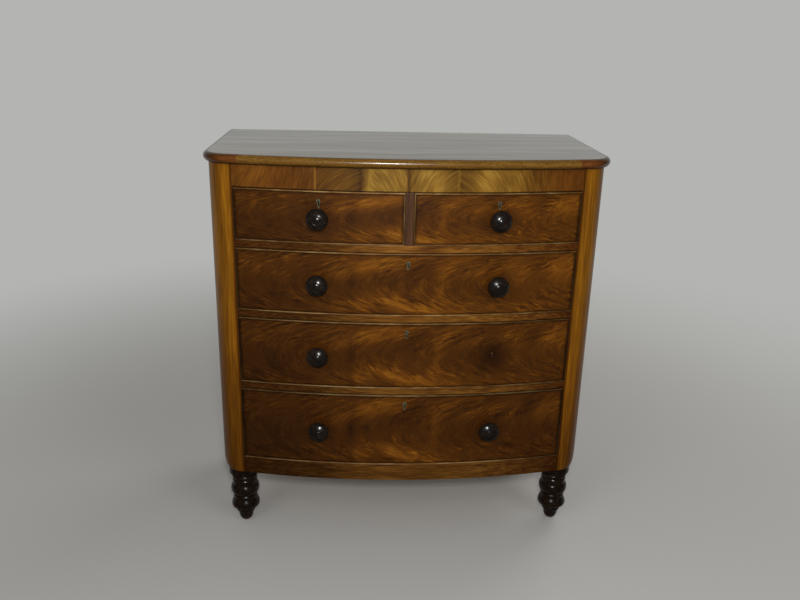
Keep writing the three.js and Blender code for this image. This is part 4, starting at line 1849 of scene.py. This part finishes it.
@dataclass(frozen=True)
class Drawer:
    """One drawer: a veneered front with its bead, fittings and lock, and a pine box behind it.

    The number picks its cut of the leaf, and its painted shade is how much darker the veneer is painted at
    three places across, as the lower drawers get less light.
    """

    name: str
    body: Body
    number: int
    fittings: tuple[tuple[str, float, Fitting], ...]
    painted_shade: tuple[float, float, float] = (0.0, 0.0, 0.0)
    painted_shade_at: tuple[float, float, float] = (-0.4, 0.0, 0.35)
    cell: tuple[float, float] = (0.008, 0.007)
    bead: float = 0.0035
    bead_cell: tuple[float, float] = (0.012, 0.030)
    bead_turns: int = 8
    proud: float = 0.0025
    seat: float = 0.0065
    stem_hole: float = 0.0088
    darkening_radius: float = 0.034
    groove: float = 0.0043
    keyhole_drop: float = 0.035

    @property
    def edges(self) -> tuple[float, float, float, float]:
        """The front's left, right, lower and upper edge, from the model."""
        low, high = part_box(self.name + "_front")
        return low.x, high.x, low.z, high.z

    @property
    def middle(self) -> float:
        """Height of the front's middle."""
        return (self.edges[2] + self.edges[3]) / 2

    @property
    def keyhole(self) -> tuple[float, float]:
        """The keyhole's place across and its height."""
        x0, x1, _, z1 = self.edges
        return (x0 + x1) / 2, z1 - self.keyhole_drop

    def divisions(self, cell: tuple[float, float]) -> tuple[int, int]:
        """How many cells of about the given size go across the front and up it."""
        x0, x1, z0, z1 = self.edges
        return round((x1 - x0) / cell[0]), round((z1 - z0) / cell[1])

    def loop(self, columns: int, rows: int, profile: Array) -> Array:
        """A profile carried round the front's outline: each point keeps its inset and its depth.

        Args:
            columns: Divisions across.
            rows: Divisions up.
            profile: Inset from the edge and depth behind the face, two columns.

        Returns:
            A grid of points, a row for each place round the outline.
        """
        x0, x1, z0, z1 = self.edges
        across, up = np.arange(columns) / columns, np.arange(rows) / rows
        fx = np.concatenate([across, np.ones(rows), 1 - across, np.zeros(rows)])[:, None]
        fz = np.concatenate([np.zeros(columns), up, np.ones(columns), 1 - up])[:, None]
        inset, depth = profile[None, :, 0], profile[None, :, 1]
        x = x0 + inset + fx * (x1 - x0 - 2 * inset)
        z = z0 + inset + fz * (z1 - z0 - 2 * inset)
        return np.stack([x, PLAN.bow(x, depth), z], -1)

    def face(self, columns: int, rows: int, inset: float, depth: float) -> Array:
        """A sheet of the front at a depth, within an inset from its edges.

        Args:
            columns: Divisions across.
            rows: Divisions up.
            inset: Distance from the edges.
            depth: Depth behind the face.

        Returns:
            A grid of points.
        """
        x0, x1, z0, z1 = self.edges
        across = np.linspace(x0 + inset, x1 - inset, columns + 1)
        up = np.linspace(z0 + inset, z1 - inset, rows + 1)
        x, z = np.meshgrid(across, up)
        return np.stack([x, PLAN.bow(x, depth), z], -1)

    def front(self) -> bpy.types.Mesh:
        """The front: a face in a rebate for the bead, a ledge and a back, bored for the lock and the stems.

        Returns:
            The mesh, with the veneer's figure as attributes.
        """
        x0, x1, z0, z1 = self.edges
        cells = self.divisions(self.cell)
        edge, rebate = self.bead + FIT, self.seat + FIT
        walls = np.array([[edge, 0.0], [edge, rebate], [0.0, rebate], [0.0, FRONT]])
        shell = Shell().grid(self.loop(*cells, walls), wrap_rows=True)
        shell.grid(self.face(*cells, edge, 0.0)).grid(self.face(*cells, 0.0, FRONT))
        mesh = self.bored(shell.mesh(self.name + "_front_mesh"))
        points = points_of(mesh)
        x, v = points[:, 0], points[:, 2] - self.middle
        inwards = np.minimum.reduce([x - x0, x1 - x, points[:, 2] - z0, z1 - points[:, 2]]) - self.bead
        level = v * LEAF.height / (z1 - z0)
        # Painted shade on the lower drawers: their veneer is painted darker, as they get less light.
        tone = LEAF.tone(x, level) - np.interp(x, self.painted_shade_at, self.painted_shade)
        # Darker veneer round each knob and stem
        for _, place, fitting in self.fittings:
            near = (x - place) ** 2 + v**2
            tone = tone - fitting.darkening * np.exp(-near / (2 * self.darkening_radius**2))
        cut = np.full(len(x), LEAF.apart * self.number)
        write_vectors(mesh, "leaf", np.column_stack([*LEAF.streak(x, level), cut]))
        write_vectors(mesh, "figure", np.column_stack([tone, inwards, LEAF.curl(x)]))
        middles = face_middles(mesh)
        depth = PLAN.radius - np.hypot(middles[:, 0], middles[:, 1] - PLAN.centre)
        paint_where(mesh, 1, depth > self.seat)
        return mesh

    def bored(self, mesh: bpy.types.Mesh) -> bpy.types.Mesh:
        """The front with its keyhole and stem holes cut through.

        Args:
            mesh: The whole front.

        Returns:
            The bored front.
        """
        block = put("block", mesh)
        tools = [Lock().plug(*self.keyhole)]
        drill = turned(oblong(0.0, self.stem_hole, *CUT), segments=40)
        for _, x, _ in self.fittings:
            tools.append(Shell().grid(on_front(drill, x, self.middle), wrap_cols=True).mesh("hole_mesh"))
        cutters = [put("cutter", tool) for tool in tools]
        for cutter in cutters:
            hole = block.modifiers.new("Hole", "BOOLEAN")
            hole.operation = "DIFFERENCE"
            hole.solver = "EXACT"
            hole.object = cutter
        ready = block.evaluated_get(bpy.context.evaluated_depsgraph_get())
        made = bpy.data.meshes.new_from_object(ready)
        for done in (block, *cutters):
            bpy.data.objects.remove(done)
        return smoothed(made)

    def cock_bead(self) -> bpy.types.Mesh:
        """The bead: a frame whose section is square behind and half round in front, mitred at the corners.

        Returns:
            The mesh.
        """
        half = self.bead / 2
        angle = np.linspace(0, np.pi, self.bead_turns + 1)
        nose = np.column_stack([half - half * np.cos(angle), -self.proud + half * (1 - np.sin(angle))])
        section = np.vstack([nose, [[self.bead, self.seat], [0.0, self.seat]]])
        xyz = self.loop(*self.divisions(self.bead_cell), section)
        mesh = Shell().grid(xyz, wrap_rows=True, wrap_cols=True).mesh(self.name + "_bead_mesh")
        x0, x1, z0, z1 = self.edges
        middles = face_middles(mesh)
        beside = np.minimum(middles[:, 0] - x0, x1 - middles[:, 0])
        over = np.minimum(middles[:, 2] - z0, z1 - middles[:, 2])
        paint_where(mesh, 1, beside < np.minimum(over, self.bead))
        return mesh

    def side(self, label: str) -> bpy.types.Mesh:
        """A drawer side: a rounded top, a groove for the bottom, and a front end that follows the bow.

        Args:
            label: Left or right.

        Returns:
            The mesh.
        """
        node = f"{self.name}_side_{label}"
        low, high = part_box(node)
        floor, ceiling = (corner.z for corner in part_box(self.name + "_bottom"))
        t = high.x - low.x
        crown = arc(t / 2, high.z - t / 2, t / 2, np.pi, 0, steps=12)
        groove = oblong(t, t - self.groove, ceiling + FIT, floor - FIT)
        ring = np.vstack([[[0.0, low.z]], crown, groove, [[t, low.z]]])
        x = low.x + ring[:, 0] if label == "left" else high.x - ring[:, 0]
        front = PLAN.bow(x, FRONT + FIT)
        return Shell().tube(drawn_out(np.column_stack([x, ring[:, 1]]), (front, high.y))).mesh(node + "_mesh")

    def dress(self) -> None:
        """Puts the drawer in the scene."""
        self.place("front", "veneered", self.front(), Slot.FLAME, FLAME, PINE_X)
        self.place("cock_bead", "worn", self.cock_bead(), Slot.BEAD, BEAD, BEAD_UPRIGHT_SHADED)
        self.place("lock", "brass", Lock().build(*self.keyhole), Slot.BRASS, BRASS)
        for label, x, fitting in self.fittings:
            if fitting is Fitting.KNOB:
                self.place(label, "turned", Knob().build(x, self.middle), Slot.DARK, KNOB)
            else:
                self.place(label, "torn", Knob().stub(x, self.middle), Slot.STEM, STEM)
        for label in ("left", "right"):
            self.place("side_" + label, "planed", self.side(label), Slot.PINE, PINE_Y)
        for label in ("_bottom", "_back"):
            refinish(self.name + label, PINE_X)

    def place(self, label: str, work: str, mesh: bpy.types.Mesh, slot: Slot, *finishes: Finish) -> None:
        """Puts a piece of the drawer in the scene, in place of its node.

        Args:
            label: The node's name after the drawer's.
            work: How the piece was worked, as the last word of its name.
            mesh: Its mesh.
            slot: The record's material slot; not used.
            *finishes: Its materials.
        """
        node = f"{self.name}_{label}"
        make_piece(f"{node}_{work}", mesh, self.body, list(finishes), (node,))


# Studio


class Shade(Enum):
    """The shape of a lamp's cloth."""

    ROUND = "DISK"
    SQUARE = "SQUARE"


@dataclass(frozen=True)
class Lamp:
    """A soft lamp: where it hangs, how high over the chest's place it aims, its width and its watts."""

    name: str
    eye: tuple[float, float, float]
    aim: float
    size: float
    power: float
    shade: Shade = Shade.SQUARE
    mirrored: bool = False

    def hang(self) -> None:
        """Puts the lamp in the scene, unseen by the camera, and by reflections unless it is mirrored."""
        data = bpy.data.lights.new(self.name, "AREA")
        data.shape = self.shade.value
        data.size = self.size
        data.energy = self.power
        made = put(self.name, data)
        away = Vector(self.eye) - Vector((0.0, 0.0, self.aim))
        made.matrix_world = Matrix.Translation(self.eye) @ away.to_track_quat("Z", "Y").to_matrix().to_4x4()
        made.visible_camera = False
        made.visible_glossy = self.mirrored


@dataclass(frozen=True)
class Studio:
    """The floor, the light and the camera.

    The floor fades into the room at some way from the chest. In reflections the floor dims from just before
    the chest on, and the room dims from behind to the front.
    """

    pale: str = "b4b5b2"
    floor: str = "b4b2ae"
    ambient: float = 0.30
    front_gloss: float = 0.06
    floor_radius: float = 9.0
    floor_corners: int = 96
    floor_fades: tuple[float, float] = (0.9, 3.4)
    floor_dims: tuple[float, float] = (-0.30, -0.05)
    room_dims: tuple[float, float] = (0.1, 0.8)
    lamps: tuple[Lamp, ...] = (
        Lamp("key", (-0.10, -2.55, 1.80), 0.75, 0.26, 36.0, Shade.ROUND, mirrored=True),
        Lamp("fill_left", (-1.9, -2.6, 2.2), 0.7, 1.6, 18.0),
        Lamp("fill_right", (2.1, -2.6, 2.2), 0.7, 1.6, 22.0),
        Lamp("rim", (2.4, 2.4, 2.6), 0.7, 2.0, 42.0),
    )
    lens: float = 35.785
    sensor: float = 36.0
    clip: tuple[float, float] = (0.05, 60.0)
    eye: tuple[float, float, float] = (-0.1352, -2.4587, 1.5736)
    yaw: float = 0.0519
    pitch: float = 0.3342
    roll: float = 0.0237

    def camera(self) -> None:
        """Sets the camera where the photograph was taken from, with right and up turned by the roll."""
        data = bpy.data.cameras.new("camera")
        data.lens = self.lens
        data.sensor_width = self.sensor
        data.clip_start, data.clip_end = self.clip
        made = put("camera", data)
        sy, cy, sp, cp = math.sin(self.yaw), math.cos(self.yaw), math.sin(self.pitch), math.cos(self.pitch)
        sight = np.array([sy * cp, cy * cp, -sp])
        level = np.array([cy, -sy, 0.0])
        rise = np.cross(level, sight)
        right = level * math.cos(self.roll) + rise * math.sin(self.roll)
        up = rise * math.cos(self.roll) - level * math.sin(self.roll)
        place = np.eye(4)
        place[:3, :3] = np.column_stack([right, up, -sight])
        place[:3, 3] = self.eye
        made.matrix_world = Matrix(place.tolist())
        bpy.context.scene.camera = made

    def world(self) -> None:
        """A pale room to the camera, dimmer in reflections from the front, and a dim fill for the shadows."""
        world = bpy.data.worlds.new("world")
        bpy.context.scene.world = world
        graph = blank_graph(world)
        ray = graph.add("ShaderNodeLightPath").outputs
        seen = graph.add(Kind.MATH, {0: ray["Is Camera Ray"], 1: ray["Is Glossy Ray"]}, operation="ADD")
        through = ray["Is Transmission Ray"]
        clear = graph.add(Kind.MATH, {0: seen, 1: through}, operation="ADD", use_clamp=True)
        fill = graph.add("ShaderNodeBackground", {"Color": (1.0, 1.0, 1.0, 1.0), "Strength": self.ambient})
        way = graph.add(Kind.SPLIT, {0: graph.add(Kind.COORD).outputs["Generated"]}).outputs[1]
        front = graph.add(Kind.RANGE, Span(*self.room_dims, self.front_gloss, 1.0).of(way))
        level = graph.add(Kind.MATH, {0: front, 1: ray["Is Camera Ray"]}, operation="MAXIMUM")
        room = graph.add("ShaderNodeBackground", {"Color": linear(self.pale), "Strength": level})
        both = graph.add("ShaderNodeMixShader", {0: clear, 1: fill, 2: room})
        graph.add("ShaderNodeOutputWorld", {"Surface": both})

    def ground(self) -> None:
        """A matt floor that fades into the pale room far from the chest, and looks dim in reflections."""
        ring = arc(0.0, 0.0, self.floor_radius, 0.0, 2 * math.pi, self.floor_corners)[:-1]
        mesh = Shell().cap(np.column_stack([ring, np.zeros(len(ring))])).mesh("floor_mesh")
        made = put("floor", mesh)
        material = bpy.data.materials.new("studio_floor_matt")
        graph = blank_graph(material)
        place = graph.add(Kind.COORD).outputs["Object"]
        far = graph.add(Kind.VECTOR, {0: place}, operation="LENGTH").outputs["Value"]
        fades = Span(*self.floor_fades, 0.0, 1.0)
        fade = graph.add(Kind.RANGE, fades.of(far), interpolation_type="SMOOTHSTEP")
        matt = graph.add("ShaderNodeBsdfDiffuse", {"Color": linear(self.floor)})
        glow = graph.add("ShaderNodeEmission", {"Color": linear(self.pale), "Strength": 1.0})
        both = graph.add("ShaderNodeMixShader", {0: fade, 1: matt, 2: glow})
        y = graph.add(Kind.SPLIT, {0: place}).outputs[1]
        ahead = graph.add(Kind.RANGE, Span(*self.floor_dims, 1.0 - self.front_gloss, 0.0).of(y))
        ray = graph.add("ShaderNodeLightPath").outputs
        dim = graph.add(Kind.MATH, {0: ahead, 1: ray["Is Glossy Ray"]}, operation="MULTIPLY")
        dark = graph.add("ShaderNodeEmission", {"Strength": 0.0})
        seen = graph.add("ShaderNodeMixShader", {0: dim, 1: both, 2: dark})
        graph.add("ShaderNodeOutputMaterial", {"Surface": seen})
        mesh.materials.append(material)

    def dress(self) -> None:
        """Sets the whole studio up."""
        bpy.context.scene.view_settings.view_transform = "Standard"
        self.camera()
        self.world()
        self.ground()
        for lamp in self.lamps:
            lamp.hang()


def main() -> None:
    """Builds the chest piece by piece, then the studio."""
    logging.basicConfig(level=logging.INFO, format="%(name)s %(message)s")
    TopBoard().dress()
    Carcase().dress()
    short, wide = 0.2565, 0.26  # How far out the knobs stand on the short drawers and on the wide ones
    left, right = ("knob_left", -wide, Fitting.KNOB), ("knob_right", wide, Fitting.KNOB)
    stub = ("knob_stub", wide, Fitting.STUB)
    drawers = (
        Drawer("short_left", Body.SHORT_LEFT, 0, (("knob", -short, Fitting.KNOB),)),
        Drawer("short_right", Body.SHORT_RIGHT, 0, (("knob", short, Fitting.KNOB),)),
        Drawer("upper", Body.UPPER, 1, (left, right)),
        # The middle and lower drawers are painted darker as shade, since less light reaches them, most at the
        # ends.
        Drawer("middle", Body.MIDDLE, 2, (left, stub), painted_shade=(0.04, 0.02, 0.055)),
        Drawer("lower", Body.LOWER, 3, (left, right), painted_shade=(0.085, 0.05, 0.115)),
    )
    for drawer in drawers:
        drawer.dress()
    Studio().dress()


if __name__ == "__main__":
    main()
